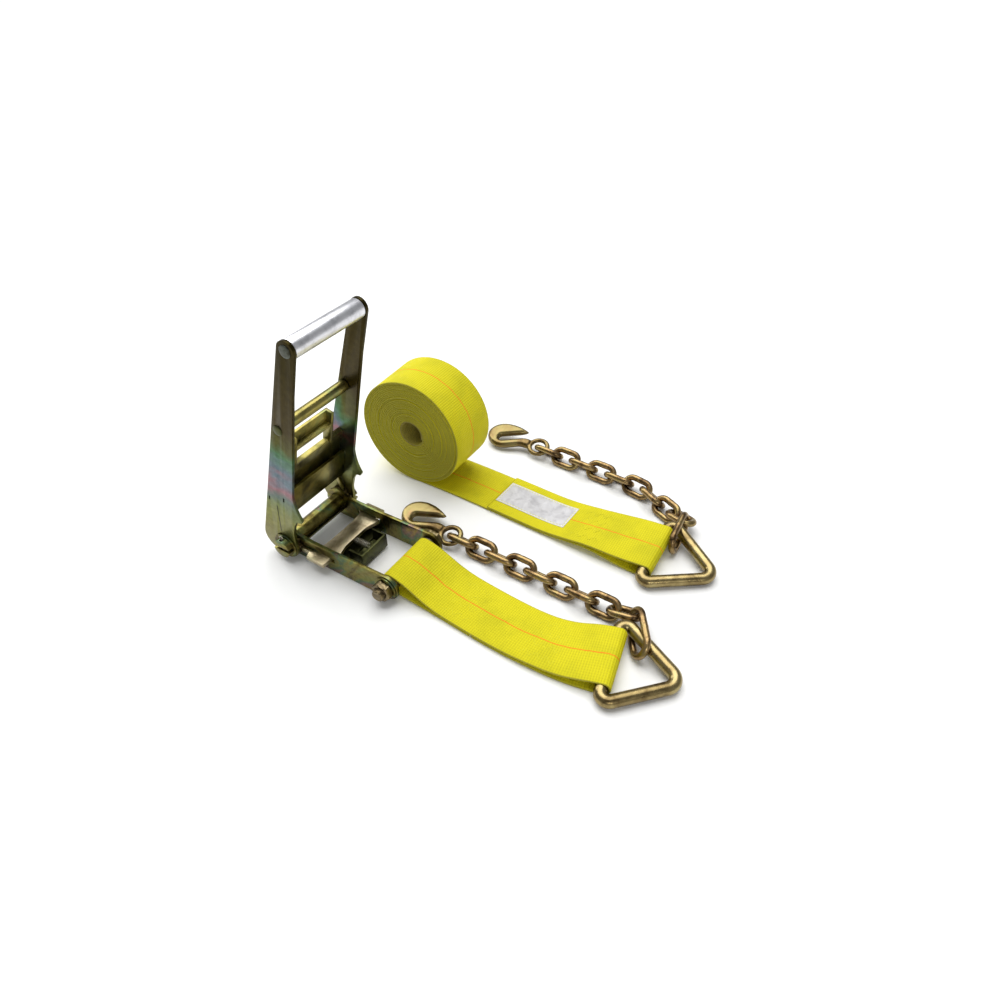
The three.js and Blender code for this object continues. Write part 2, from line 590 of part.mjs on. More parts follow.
function buildLongStrap() {
  const { radius, core, z } = ROLL;
  const half = WEB.width / 2;
  const turns = tube(core, radius, -half, half, 0, 0, 40);
  const place = new THREE.Matrix4().makeRotationZ(ROLL.yaw * RAD).setPosition(ROLL.x, ROLL.y, z);
  add("long_strap_roll", turns.applyMatrix4(place), cloth(COLOUR.webbing));

  const { x } = REAR_RING;
  const outline = strapOutline(LONG_STRAP.upper, LONG_STRAP.lower, x, RING.z);
  const curve = planCurve({ x: ROLL.x, y: ROLL.y, slope: Math.tan(ROLL.yaw * RAD) }, REAR_RING);
  add("long_strap_tail", bendStrap(extrudeStrap(outline), curve, REAR_RING), cloth(COLOUR.webbing));

  const tag = new THREE.Shape();
  const face = [];
  for (let k = 0; k <= 8; k++) {
    const px = LABEL.x + (LABEL.length * k) / 8;
    face.push([px, heightAt(LONG_STRAP.upper, px) + GAP]);
  }
  face.forEach((p, i) => (i ? tag.lineTo(...p) : tag.moveTo(...p)));
  face.reverse().forEach(([px, pz]) => tag.lineTo(px, pz + LABEL.thick));
  const label = closed(plate(tag, LABEL.y0, LABEL.y1));
  add("strap_label", bendStrap(label, curve, REAR_RING), cloth(COLOUR.label));
}

buildFrame();
buildFramePawl();
buildSpool();
buildHandle();
buildHandlePawl();
buildShortStrap();
buildLongStrap();
buildRing("delta_ring_front", FRONT_RING);
buildRing("delta_ring_rear", REAR_RING);
buildChain("front_chain", FRONT_CHAIN);
buildChain("rear_chain", REAR_CHAIN);
buildHook("grab_hook_front", FRONT_HOOK);
buildHook("grab_hook_rear", REAR_HOOK);

export default object;
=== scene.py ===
import json
import math

import bmesh
import bpy
from mathutils import Matrix, Vector
from mathutils.bvhtree import BVHTree
import numpy as np


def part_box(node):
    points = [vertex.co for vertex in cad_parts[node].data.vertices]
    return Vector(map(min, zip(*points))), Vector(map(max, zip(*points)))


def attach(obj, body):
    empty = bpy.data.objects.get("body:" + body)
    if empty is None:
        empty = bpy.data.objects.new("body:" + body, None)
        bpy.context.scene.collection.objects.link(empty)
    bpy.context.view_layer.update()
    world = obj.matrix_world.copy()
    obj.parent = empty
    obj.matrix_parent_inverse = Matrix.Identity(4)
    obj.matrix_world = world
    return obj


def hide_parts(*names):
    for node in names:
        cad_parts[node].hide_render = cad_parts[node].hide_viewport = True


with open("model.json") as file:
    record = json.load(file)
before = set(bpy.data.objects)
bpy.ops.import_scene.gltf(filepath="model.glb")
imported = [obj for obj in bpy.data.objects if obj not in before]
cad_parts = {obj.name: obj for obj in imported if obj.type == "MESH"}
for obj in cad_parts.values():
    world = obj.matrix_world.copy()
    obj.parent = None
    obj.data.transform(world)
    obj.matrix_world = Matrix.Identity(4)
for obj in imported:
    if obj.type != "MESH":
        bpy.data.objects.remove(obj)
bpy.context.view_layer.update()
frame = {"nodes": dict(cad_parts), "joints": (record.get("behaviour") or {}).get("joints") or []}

# The looks of a ratchet tie down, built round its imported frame. Metres, +Z up, +X from the ratchet to the
# rings. Lengths below are millimetres where a name ends in _MM or a comment says so.
MM = 0.001
JOINTS = {joint["name"]: joint for joint in frame["joints"]}
SPOOL_AXIS = Vector(JOINTS["spool_spin"]["pos_m"])
SPOOL_HEIGHT_MM = 21.0
HANDLE_TILT = math.radians(76.7)
HANDLE_UP = Vector((math.cos(HANDLE_TILT), 0, math.sin(HANDLE_TILT)))
HANDLE_LENGTH_MM = 305.7

WEB_WIDTH_MM, WEB_THICK_MM = 76.2, 2.4
CHAIN_WIRE_MM, CHAIN_INNER_MM, CHAIN_INNER_WIDTH_MM = 8.6, 29.7, 12.8
END_INNER_MM, END_INNER_WIDTH_MM = 51.5, 17.5
RING_WIRE_MM, RING_HALF_BASE_MM, RING_HEIGHT_MM = 15.5, 58.0, 82.5
RING_CORNER_MM, RING_APEX_MM, RING_LEAN = 9.0, 13.0, 0.1


def place(x, y, z):
    """A point given in millimetres from the floor under the spool's middle, in the row frame."""
    return SPOOL_AXIS + Vector((x, y, z - SPOOL_HEIGHT_MM)) * MM


def add_object(name, data):
    """A new object in the scene."""
    made = bpy.data.objects.new(name, data)
    bpy.context.scene.collection.objects.link(made)
    return made


# ---------- camera, floor and light ----------
def make_camera():
    camera = add_object("camera", bpy.data.cameras.new("camera"))
    camera.location = place(600.9, -508.4, 700.2)
    elevation, azimuth = math.radians(40.75), math.radians(32.06)
    camera.rotation_euler = (math.pi / 2 - elevation, 0, azimuth)
    camera.data.sensor_width = 36
    camera.data.lens = 27.78
    camera.data.clip_start, camera.data.clip_end = 0.02, 50
    bpy.context.scene.camera = camera


def add_light(kind, name, position, target, power, **settings):
    """A lamp at the position, turned to face the target."""
    data = bpy.data.lights.new(name, kind)
    data.energy = power
    for key, value in settings.items():
        setattr(data, key, value)
    light = add_object(name, data)
    light.location = position
    light.rotation_euler = (Vector(target) - Vector(position)).to_track_quat("-Z", "Y").to_euler()


def make_stage():
    floor = bpy.data.meshes.new("floor")
    reach, drop = 30.0, -0.0004
    corners = [(-reach, -reach, drop), (reach, -reach, drop), (reach, reach, drop), (-reach, reach, drop)]
    floor.from_pydata(corners, [], [(0, 1, 2, 3)])
    floor_object = add_object("floor", floor)
    paper, _, shader = new_material("floor_paper")
    shader.inputs["Base Color"].default_value = (0.93, 0.93, 0.92, 1)
    shader.inputs["Roughness"].default_value = 0.9
    floor.materials.append(paper)

    world = bpy.data.worlds.new("studio")
    world.use_nodes = True
    background = world.node_tree.nodes["Background"]
    background.inputs["Color"].default_value = (0.96, 0.98, 1.0, 1)
    background.inputs["Strength"].default_value = 0.32
    bpy.context.scene.world = world
    bpy.context.scene.view_settings.view_transform = "Standard"
    # a wide overhead light, as even over the floor as a light tent's roof
    add_light("SUN", "roof", (-0.40, 0.38, 1.5), (0, 0, 0), 2.8, angle=math.radians(62))
    add_light("AREA", "side", (-1.5, 0.2, 0.9), (0, 0, 0.1), 7, shape="RECTANGLE", size=0.4, size_y=1.0)
    add_light("AREA", "front", (1.3, -1.3, 0.9), (0, 0, 0.05), 6, shape="RECTANGLE", size=0.8, size_y=0.3)


# ---------- materials ----------
def new_material(name):
    material = bpy.data.materials.new(name)
    material.use_nodes = True
    return material, material.node_tree, material.node_tree.nodes["Principled BSDF"]


def put(tree, kind, values=None, links=None, **settings):
    """Adds a node with its settings, its inputs' values, and the sockets that feed its inputs."""
    node = tree.nodes.new(kind)
    for key, value in settings.items():
        setattr(node, key, value)
    for key, value in (values or {}).items():
        node.inputs[key].default_value = value
    for key, socket in (links or {}).items():
        tree.links.new(socket, node.inputs[key])
    return node


def ramp(tree, factor, stops):
    """A colour from a factor, by (position, colour) stops."""
    node = put(tree, "ShaderNodeValToRGB", links={"Fac": factor})
    elements = node.color_ramp.elements
    while len(elements) < len(stops):
        elements.new(0.5)
    for element, (position, colour) in zip(elements, stops):
        element.position = position
        element.color = (*colour, 1)
    return node.outputs["Color"]


def noise(tree, vector, scale, detail=4.0, roughness=0.55, distortion=0.0):
    values = {"Scale": scale, "Detail": detail, "Roughness": roughness, "Distortion": distortion}
    return put(tree, "ShaderNodeTexNoise", values, {"Vector": vector}).outputs["Fac"]


def map_range(tree, value, source=(0, 1), target=(0, 1)):
    """The value carried from the source range onto the target range, and held within it."""
    values = {"From Min": source[0], "From Max": source[1], "To Min": target[0], "To Max": target[1]}
    return put(tree, "ShaderNodeMapRange", values, {"Value": value}).outputs["Result"]


def mix(tree, factor, first, second, blend_type="MIX"):
    node = put(tree, "ShaderNodeMix", data_type="RGBA", blend_type=blend_type)
    # a mix node keeps its colour sockets at places 6 and 7
    for socket, value in ((node.inputs[0], factor), (node.inputs[6], first), (node.inputs[7], second)):
        if isinstance(value, bpy.types.NodeSocket):
            tree.links.new(value, socket)
        elif isinstance(value, tuple):
            socket.default_value = (*value, 1)
        else:
            socket.default_value = value
    return node.outputs[2]


def math_node(tree, operation, first, second=0.0):
    node = put(tree, "ShaderNodeMath", operation=operation)
    for socket, value in zip(node.inputs, (first, second)):
        if isinstance(value, bpy.types.NodeSocket):
            tree.links.new(value, socket)
        else:
            socket.default_value = value
    return node.outputs[0]


def plus(tree, base, value, times):
    """The base and so many times the value."""
    return math_node(tree, "ADD", base, math_node(tree, "MULTIPLY", value, times))


def bump(tree, shader, height, strength, distance):
    node = put(tree, "ShaderNodeBump", {"Strength": strength, "Distance": distance}, {"Height": height})
    tree.links.new(node.outputs["Normal"], shader.inputs["Normal"])


def object_coords(tree):
    return put(tree, "ShaderNodeTexCoord").outputs["Object"]


def steel_finish(tree, shader, coords, roughness, pits):
    """Fine unevenness of a plated surface: gloss that varies, and a very shallow pitting."""
    blotch = map_range(tree, noise(tree, coords, 55, 5), target=roughness)
    tree.links.new(blotch, shader.inputs["Roughness"])
    bump(tree, shader, noise(tree, coords, 900, 3), pits, 0.0004)


PLATE_COLOURS = [
    (0.28, (0.038, 0.028, 0.008)),
    (0.38, (0.100, 0.080, 0.022)),
    (0.46, (0.225, 0.195, 0.055)),
    (0.53, (0.200, 0.220, 0.070)),
    (0.59, (0.110, 0.180, 0.105)),
    (0.65, (0.215, 0.140, 0.120)),
    (0.72, (0.300, 0.225, 0.070)),
    (0.82, (0.110, 0.085, 0.028)),
]


def plated_steel():
    """Yellow zinc plate: olive, brown and gold in patches, green, blue and pink where the film is thick."""
    material, tree, shader = new_material("yellow_zinc")
    coords = object_coords(tree)
    shader.inputs["Metallic"].default_value = 1.0
    cloud = noise(tree, coords, 17, 5, 0.6, 1.4)
    tint = ramp(tree, cloud, PLATE_COLOURS)
    streak = noise(tree, coords, 160, 4, 0.6)
    worn = ramp(tree, streak, [(0.35, (0.72, 0.70, 0.66)), (0.7, (1.12, 1.1, 1.05))])
    tree.links.new(mix(tree, 1.0, tint, worn, "MULTIPLY"), shader.inputs["Base Color"])
    steel_finish(tree, shader, coords, (0.22, 0.42), 0.25)
    return material


# How the film's colour changes up a handle plate, from the spool (0) to the grip (1).
HANDLE_COLOURS = [
    (0.00, (0.180, 0.165, 0.045)),
    (0.14, (0.190, 0.195, 0.055)),
    (0.22, (0.150, 0.180, 0.070)),
    (0.28, (0.110, 0.150, 0.130)),
    (0.34, (0.260, 0.130, 0.150)),
    (0.40, (0.120, 0.165, 0.200)),
    (0.47, (0.075, 0.165, 0.080)),
    (0.55, (0.085, 0.085, 0.022)),
    (0.68, (0.052, 0.038, 0.010)),
    (1.00, (0.036, 0.028, 0.007)),
]


def handle_steel():
    """The same plate on the handle's sides, where the film's colours run in bands up the handle."""
    material, tree, shader = new_material("yellow_zinc_handle")
    coords = object_coords(tree)
    shader.inputs["Metallic"].default_value = 1.0
    parts = put(tree, "ShaderNodeSeparateXYZ", links={"Vector": coords}).outputs
    from_x = math_node(tree, "SUBTRACT", parts[0], SPOOL_AXIS.x)
    from_z = math_node(tree, "SUBTRACT", parts[2], SPOOL_AXIS.z)

    def from_spool(x, z):
        """How far a point lies from the spool's axis in the direction (x, z)."""
        return plus(tree, math_node(tree, "MULTIPLY", from_x, x), from_z, z)

    along, across = from_spool(HANDLE_UP.x, HANDLE_UP.z), from_spool(-HANDLE_UP.z, HANDLE_UP.x)
    share = math_node(tree, "DIVIDE", along, HANDLE_LENGTH_MM * MM)
    wander = math_node(tree, "SUBTRACT", noise(tree, coords, 13, 4, 0.55, 0.8), 0.5)
    tint = ramp(tree, plus(tree, share, wander, 0.42), HANDLE_COLOURS)
    streak = noise(tree, coords, 130, 4, 0.6)
    worn = ramp(tree, streak, [(0.35, (0.75, 0.73, 0.70)), (0.7, (1.1, 1.1, 1.08))])
    tint = mix(tree, 1.0, tint, worn, "MULTIPLY")
    # a pressed line runs from between the two slits down towards the spool, painted as a dark line: painted
    # shade in the crease
    line = plus(tree, 0.0050, along, 0.15)
    beside = math_node(tree, "ABSOLUTE", math_node(tree, "SUBTRACT", across, line))
    from_middle = math_node(tree, "ABSOLUTE", math_node(tree, "SUBTRACT", along, 0.043))
    width = map_range(tree, beside, (0.0011, 0.0004))
    ends = map_range(tree, from_middle, (0.024, 0.020))
    crease_shade = math_node(tree, "MULTIPLY", width, ends)
    tree.links.new(mix(tree, crease_shade, tint, (0.020, 0.018, 0.008)), shader.inputs["Base Color"])
    steel_finish(tree, shader, coords, (0.26, 0.44), 0.25)
    return material


def coloured(name, stops, scale, roughness, pits=0.3, metallic=1.0):
    """A finish whose colour wanders between the stops: chromate film on steel, or thread."""
    material, tree, shader = new_material(name)
    coords = object_coords(tree)
    shader.inputs["Metallic"].default_value = metallic
    tint = ramp(tree, noise(tree, coords, scale, 5, 0.6, 0.6), stops)
    tree.links.new(tint, shader.inputs["Base Color"])
    steel_finish(tree, shader, coords, roughness, pits)
    return material


GRIP_COLOURS = [(0.3, (0.50, 0.50, 0.52)), (0.5, (0.72, 0.72, 0.75)), (0.8, (0.85, 0.85, 0.87))]


def grip_steel():
    """Bright tube, drawn along its length so that it has faint lines that way."""
    material, tree, shader = new_material("bright_tube")
    coords = object_coords(tree)
    shader.inputs["Metallic"].default_value = 1.0
    stretched = put(tree, "ShaderNodeMapping", {"Scale": (1.0, 0.03, 1.0)}, {"Vector": coords})
    lines = noise(tree, stretched.outputs["Vector"], 1400, 3)
    tree.links.new(map_range(tree, lines, target=(0.24, 0.44)), shader.inputs["Roughness"])
    scuff = noise(tree, coords, 60, 6, 0.65)
    tree.links.new(ramp(tree, scuff, GRIP_COLOURS), shader.inputs["Base Color"])
    bump(tree, shader, lines, 0.15, 0.0003)
    return material


WEBBING_COLOURS = [(0.0, (0.540, 0.475, 0.003)), (0.42, (0.670, 0.600, 0.004)), (1.0, (0.750, 0.680, 0.007))]


def webbing(name, shaded_core_end=False):
    """Woven polyester: fine ribs across, warp lines along, and one orange tracer down the middle. The
    mesh's weave attribute says how far along and across the strap a point lies, in metres."""
    material, tree, shader = new_material(name)
    weave = put(tree, "ShaderNodeAttribute", attribute_name="weave").outputs["Vector"]
    coords = object_coords(tree)
    parts = put(tree, "ShaderNodeSeparateXYZ", links={"Vector": weave}).outputs
    along, across = parts[0], parts[1]

    def wave(distance, pitch):
        turn = math_node(tree, "SINE", math_node(tree, "MULTIPLY", distance, 2 * math.pi / pitch))
        return plus(tree, 0.5, turn, 0.5)

    rib, warp = wave(along, 0.0030), wave(across, 0.0034)
    stretched = put(tree, "ShaderNodeMapping", {"Scale": (0.2, 1.0, 1.0)}, {"Vector": weave})
    fibre = noise(tree, stretched.outputs["Vector"], 4200, 2)
    height = plus(tree, plus(tree, rib, warp, 0.4), fibre, 0.5)
    # the ramp darkens the weave's low places: painted shade in the weave
    shade = ramp(tree, math_node(tree, "MULTIPLY", height, 0.52), WEBBING_COLOURS)
    soil = ramp(tree, noise(tree, coords, 26, 5, 0.6), [(0.3, (0.84, 0.86, 0.8)), (0.55, (1.0, 1.0, 1.0))])
    shade = mix(tree, 1.0, shade, soil, "MULTIPLY")
    # the selvedges, woven closer, are darkened: painted shade, the shade that falls between layers of
    # webbing, and some dirt
    edge = plus(tree, math_node(tree, "ABSOLUTE", across), fibre, 0.0006)
    edge = map_range(tree, edge, (0.0366, 0.0384))
    shade = mix(tree, edge, shade, (0.350, 0.316, 0.026))
    if shaded_core_end:
        # the webbing at the roll's core is darkened too: painted shade inside the core's hole
        inner = map_range(tree, along, (0.13, 0.09), (0, 0.85))
        shade = mix(tree, inner, shade, (0.250, 0.205, 0.050))
    # the tracer wanders, and its two sides are ragged
    wander = math_node(tree, "SUBTRACT", noise(tree, coords, 60, 2), 0.5)
    from_middle = math_node(tree, "ABSOLUTE", plus(tree, across, wander, 0.0030))
    ragged = math_node(tree, "MULTIPLY", fibre, 0.0013)
    tracer = math_node(tree, "LESS_THAN", from_middle, ragged)
    tree.links.new(mix(tree, tracer, shade, (0.860, 0.245, 0.006)), shader.inputs["Base Color"])
    shader.inputs["Roughness"].default_value = 0.75
    shader.inputs["Specular IOR Level"].default_value = 0.3
    bump(tree, shader, height, 0.6, 0.0006)
    return material


LABEL_COLOURS = [(0.32, (0.42, 0.41, 0.42)), (0.5, (0.56, 0.55, 0.56)), (0.7, (0.68, 0.67, 0.68))]


def label_cloth():
    """A coated tag, left blank: a grey panel inside a pale border, and the crinkle of use. The mesh's
    inset attribute says how far a point lies from the tag's edge, in metres."""
    material, tree, shader = new_material("label_cloth")
    coords = object_coords(tree)
    inset = put(tree, "ShaderNodeAttribute", attribute_name="inset").outputs["Fac"]
    border = map_range(tree, inset, (0.0034, 0.0024))
    mottle = noise(tree, coords, 70, 5, 0.6, 0.5)
    tint = mix(tree, border, ramp(tree, mottle, LABEL_COLOURS), (0.76, 0.75, 0.76))
    tree.links.new(tint, shader.inputs["Base Color"])
    shader.inputs["Roughness"].default_value = 0.5
    crinkle = noise(tree, coords, 190, 4, 0.6, 1.0)
    weave = noise(tree, coords, 2600, 2)
    bump(tree, shader, plus(tree, crinkle, weave, 0.2), 0.5, 0.0012)
    return material


CHAIN_COLOURS = [
    (0.30, (0.050, 0.030, 0.014)),
    (0.42, (0.165, 0.105, 0.048)),
    (0.52, (0.320, 0.215, 0.095)),
    (0.62, (0.290, 0.225, 0.090)),
    (0.74, (0.200, 0.120, 0.062)),
]
RING_COLOURS = [
    (0.30, (0.100, 0.066, 0.026)),
    (0.48, (0.290, 0.220, 0.095)),
    (0.60, (0.360, 0.295, 0.135)),
    (0.75, (0.210, 0.165, 0.070)),
]
HOOK_COLOURS = [
    (0.30, (0.070, 0.044, 0.018)),
    (0.46, (0.200, 0.140, 0.058)),
    (0.58, (0.230, 0.190, 0.075)),
    (0.72, (0.290, 0.170, 0.090)),
]
PAWL_COLOURS = [
    (0.30, (0.200, 0.160, 0.095)),
    (0.50, (0.470, 0.400, 0.260)),
    (0.62, (0.430, 0.400, 0.240)),
    (0.75, (0.380, 0.290, 0.210)),
]
BAR_COLOURS = [
    (0.30, (0.060, 0.050, 0.016)),
    (0.42, (0.180, 0.160, 0.050)),
    (0.52, (0.330, 0.280, 0.085)),
    (0.62, (0.220, 0.240, 0.090)),
    (0.74, (0.260, 0.180, 0.080)),
]
# near black: painted shade for the cross web deep between the frame plates, also used on the cross rivet
WEB_SHADE_COLOURS = [(0.3, (0.020, 0.020, 0.008)), (0.55, (0.075, 0.080, 0.030)), (0.75, (0.045, 0.040, 0.018))]
BOLT_COLOURS = [(0.3, (0.06, 0.045, 0.024)), (0.55, (0.25, 0.195, 0.105)), (0.75, (0.15, 0.125, 0.065))]
RIVET_COLOURS = [(0.3, (0.03, 0.028, 0.018)), (0.6, (0.10, 0.11, 0.09)), (0.75, (0.05, 0.07, 0.06))]
SPRING_COLOURS = [(0.3, (0.16, 0.14, 0.10)), (0.6, (0.42, 0.40, 0.33))]
THREAD_COLOURS = [(0.3, (0.60, 0.56, 0.006)), (0.7, (0.80, 0.76, 0.02))]

make_camera()
make_stage()
LOOK = {
    "plate": plated_steel(),
    "handle": handle_steel(),
    "grip": grip_steel(),
    "chain": coloured("chromate_chain", CHAIN_COLOURS, 60, (0.20, 0.40)),
    "ring": coloured("chromate_ring", RING_COLOURS, 30, (0.20, 0.36)),
    "hook": coloured("chromate_hook", HOOK_COLOURS, 34, (0.24, 0.42)),
    "rivet": coloured("dark_rivet", RIVET_COLOURS, 120, (0.3, 0.5)),
    "pawl": coloured("chromate_pawl", PAWL_COLOURS, 28, (0.24, 0.42)),
    "bar": coloured("chromate_bar", BAR_COLOURS, 24, (0.22, 0.40)),
    "web": coloured("painted_shade_web", WEB_SHADE_COLOURS, 40, (0.3, 0.5)),
    "bolt": coloured("chromate_bolt", BOLT_COLOURS, 70, (0.24, 0.45)),
    "spring": coloured("spring_wire", SPRING_COLOURS, 90, (0.25, 0.45)),
    "webbing": webbing("yellow_webbing"),
    "rolled_webbing": webbing("yellow_webbing_rolled", shaded_core_end=True),
    "label": label_cloth(),
    "thread": coloured("sewing_thread", THREAD_COLOURS, 300, (0.6, 0.8), 0.3, 0.0),
}


# ---------- mesh helpers ----------
def piece(name, vertices, faces, look):
    """A smooth shaded mesh object with its look."""
    data = bpy.data.meshes.new(name)
    data.from_pydata([tuple(v) for v in vertices], [], [tuple(f) for f in faces])
    data.polygons.foreach_set("use_smooth", [True] * len(data.polygons))
    data.materials.append(LOOK[look])
    return add_object(name, data)


def stand_for(made, body, slot, *nodes):
    """The piece rides its body and shows in place of the nodes given. The slot is not used."""
    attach(made, body)
    if nodes:
        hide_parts(*nodes)
    return made


def grid_faces(rows, columns, close_rows, close_columns=True):
    """Quads between successive rows of points, each row a closed or open line of columns points."""
    faces = []
    for i in range(rows if close_rows else rows - 1):
        j = (i + 1) % rows
        for k in range(columns if close_columns else columns - 1):
            m = (k + 1) % columns
            faces.append((i * columns + k, i * columns + m, j * columns + m, j * columns + k))
    return faces


def tube_faces(rows, columns):
    """Quads between successive closed rows of points, and a cap on the first row and on the last."""
    faces = grid_faces(rows, columns, False)
    faces.append(tuple(range(columns)))
    faces.append(tuple((rows - 1) * columns + k for k in reversed(range(columns))))
    return faces


def turns(count):
    """The angles of that many points evenly round a circle."""
    return [2 * math.pi * k / count for k in range(count)]


def circles(rings, x, z, sides):
    """The points of circles about Y through (x, z), one for each (radius, y) pair."""
    return [(x + radius * math.cos(turn), y, z + radius * math.sin(turn))
            for radius, y in rings for turn in turns(sides)]


def turned(rings, x, z, sides=64):
    """A solid of revolution about Y through (x, z), from (radius, y) pairs, its two ends closed flat."""
    return circles(rings, x, z, sides), tube_faces(len(rings), sides)


def turned_ring(rings, x, z, sides=64):
    """A ring about Y through (x, z): its section is the closed line of (radius, y) pairs."""
    return circles(rings, x, z, sides), grid_faces(len(rings), sides, True)


def outward(made):
    """The same object, its faces turned to look outwards."""
    bm = bmesh.new()
    bm.from_mesh(made.data)
    bmesh.ops.recalc_face_normals(bm, faces=bm.faces)
    bm.to_mesh(made.data)
    bm.free()
    return made


def smooth_by_angle(made, degrees=35):
    """Shades smooth, with creases where faces meet at more than that angle."""
    bm = bmesh.new()
    bm.from_mesh(made.data)
    for face in bm.faces:
        face.smooth = True
    for edge in bm.edges:
        edge.smooth = len(edge.link_faces) == 2 and edge.calc_face_angle(0) < math.radians(degrees)
    bm.to_mesh(made.data)
    bm.free()
    return made


def joined_pieces(name, parts, look):
    """One piece from several (vertices, faces) shapes."""
    vertices, faces = [], []
    for more_vertices, more_faces in parts:
        start = len(vertices)
        vertices.extend(more_vertices)
        faces.extend(tuple(start + i for i in face) for face in more_faces)
    return smooth_by_angle(outward(piece(name, vertices, faces, look)))


def machined(node, body, slot, look, bevel_mm=0.7, segments=2):
    """The node's shape with its edges rounded over, as a piece that stands for it."""
    bm = bmesh.new()
    bm.from_mesh(frame["nodes"][node].data)
    bmesh.ops.remove_doubles(bm, verts=bm.verts, dist=3e-6)
    bmesh.ops.dissolve_limit(bm, angle_limit=math.radians(1), verts=bm.verts, edges=bm.edges)
    sharp = [e for e in bm.edges if len(e.link_faces) == 2 and e.calc_face_angle(0) > math.radians(32)]
    bmesh.ops.bevel(bm, geom=sharp, offset=bevel_mm * MM, offset_type="OFFSET", segments=segments,
                    profile=0.5, affect="EDGES", clamp_overlap=True)
    data = bpy.data.meshes.new(node + "_finish")
    bm.to_mesh(data)
    bm.free()
    data.materials.append(LOOK[look])
    return stand_for(smooth_by_angle(add_object(node + "_finish", data), 28), body, slot, node)


def ball():
    """The points and triangles of a small round ball of radius 1."""
    bm = bmesh.new()
    bmesh.ops.create_icosphere(bm, subdivisions=2, radius=1)
    points = np.array([v.co for v in bm.verts])
    triangles = np.array([[v.index for v in face.verts] for face in bm.faces])
    bm.free()
    return points, triangles


def forged(node, body, slot, look, spacing_mm=0.9, voxel_mm=0.6, rounds=16):
    """The flat node's shape with its flanks rounded right over, as a drop forging's are: the balls that
    fit inside it about its middle plane, fused and eased."""
    solid = bmesh.new()
    solid.from_mesh(frame["nodes"][node].data)
    tree = BVHTree.FromBMesh(solid)
    solid.free()
    points, _, along, across, normal = node_frame(node)
    level = ((points @ normal).max() + (points @ normal).min()) / 2
    spacing = spacing_mm * MM
    marks = [np.arange((points @ d).min(), (points @ d).max(), spacing) for d in (along, across)]
    ball_points, ball_triangles = ball()
    vertices, faces = [], []
    for u in marks[0]:
        for v in marks[1]:
            at = along * u + across * v + normal * level
            distance = tree.find_nearest(Vector(at))[3]
            _, facing, _, _ = tree.ray_cast(Vector(at), Vector(normal))
            if facing is not None and facing.dot(Vector(normal)) > 0 and distance > 0.5 * MM:
                faces.append(ball_triangles + len(ball_points) * len(vertices))
                vertices.append(ball_points * distance + at)
    data = bpy.data.meshes.new(node + "_forging")
    data.from_pydata(np.vstack(vertices).tolist(), [], np.vstack(faces).tolist())
    made = add_object(node + "_forging", data)
    remesh = made.modifiers.new("remesh", "REMESH")
    remesh.mode, remesh.voxel_size = "VOXEL", voxel_mm * MM
    soften = made.modifiers.new("soften", "SMOOTH")
    soften.factor, soften.iterations = 0.5, rounds
    bpy.context.view_layer.update()
    evaluated = made.evaluated_get(bpy.context.evaluated_depsgraph_get())
    final = bpy.data.meshes.new_from_object(evaluated)
    made.modifiers.clear()
    made.data = final
    final.materials.clear()
    final.materials.append(LOOK[look])
    final.polygons.foreach_set("use_smooth", [True] * len(final.polygons))
    return stand_for(made, body, slot, node)


def span(node, axis):
    low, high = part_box(node)
    return low[axis], high[axis]


def centre(node):
    low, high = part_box(node)
    return (low + high) / 2


# ---------- bent wire: chain links and delta rings ----------
def stadium(inner, inner_width, wire, steps=18):
    """A link's centreline in millimetres: two half circles and the straights between them."""
    radius = (inner_width + wire) / 2
    reach = (inner + wire) / 2 - radius
    points = []
    for side in (1, -1):
        for k in range(steps + 1):
            turn = (-0.5 + k / steps) * math.pi
            points.append((side * (reach + radius * math.cos(turn)), side * radius * math.sin(turn)))
        for k in range(1, 7):
            points.append((side * reach * (1 - 2 * k / 7), side * radius))
    return np.array(points)


def delta():
    """A ring's centreline in millimetres: base bar on Y at x = 0, apex towards +X, each corner an arc."""
    corners = [(0, -RING_HALF_BASE_MM, RING_CORNER_MM), (RING_HEIGHT_MM, 0, RING_APEX_MM),
               (0, RING_HALF_BASE_MM, RING_CORNER_MM)]
    points = []
    for i, (x, y, radius) in enumerate(corners):
        here = np.array([x, y], float)
        before = np.array(corners[i - 1][:2]) - here
        after = np.array(corners[(i + 1) % 3][:2]) - here
        run = np.linalg.norm(after)
        before, after = before / np.linalg.norm(before), after / run
        half = math.acos(float(before @ after)) / 2
        middle = here + (before + after) / np.linalg.norm(before + after) * radius / math.sin(half)
        start = here + before * radius / math.tan(half) - middle
        sweep = math.pi - 2 * half
        for k in range(15):
            turn = sweep * k / 14
            cos, sin = math.cos(turn), math.sin(turn)
            turned_start = [start[0] * cos - start[1] * sin, start[0] * sin + start[1] * cos]
            points.append(middle + np.array(turned_start))
        end = points[-1]
        goal = here + after * run * 0.86
        for k in range(1, 8):
            points.append(end + (goal - end) * k / 8)
    return np.array(points)


def lengths_along(line):
    """How far along the line each of its points lies."""
    return np.concatenate([[0], np.cumsum(np.linalg.norm(np.diff(line, axis=0), axis=1))])


def unit_rows(vectors):
    """The vectors, each scaled to a length of 1."""
    return vectors / np.linalg.norm(vectors, axis=1)[:, None]


def resampled(points, count):
    """The closed line's points, evenly spaced."""
    closed = np.vstack([points, points[:1]])
    lengths = lengths_along(closed)
    marks = np.linspace(0, lengths[-1], count, endpoint=False)
    return np.column_stack([np.interp(marks, lengths, closed[:, i]) for i in range(closed.shape[1])])


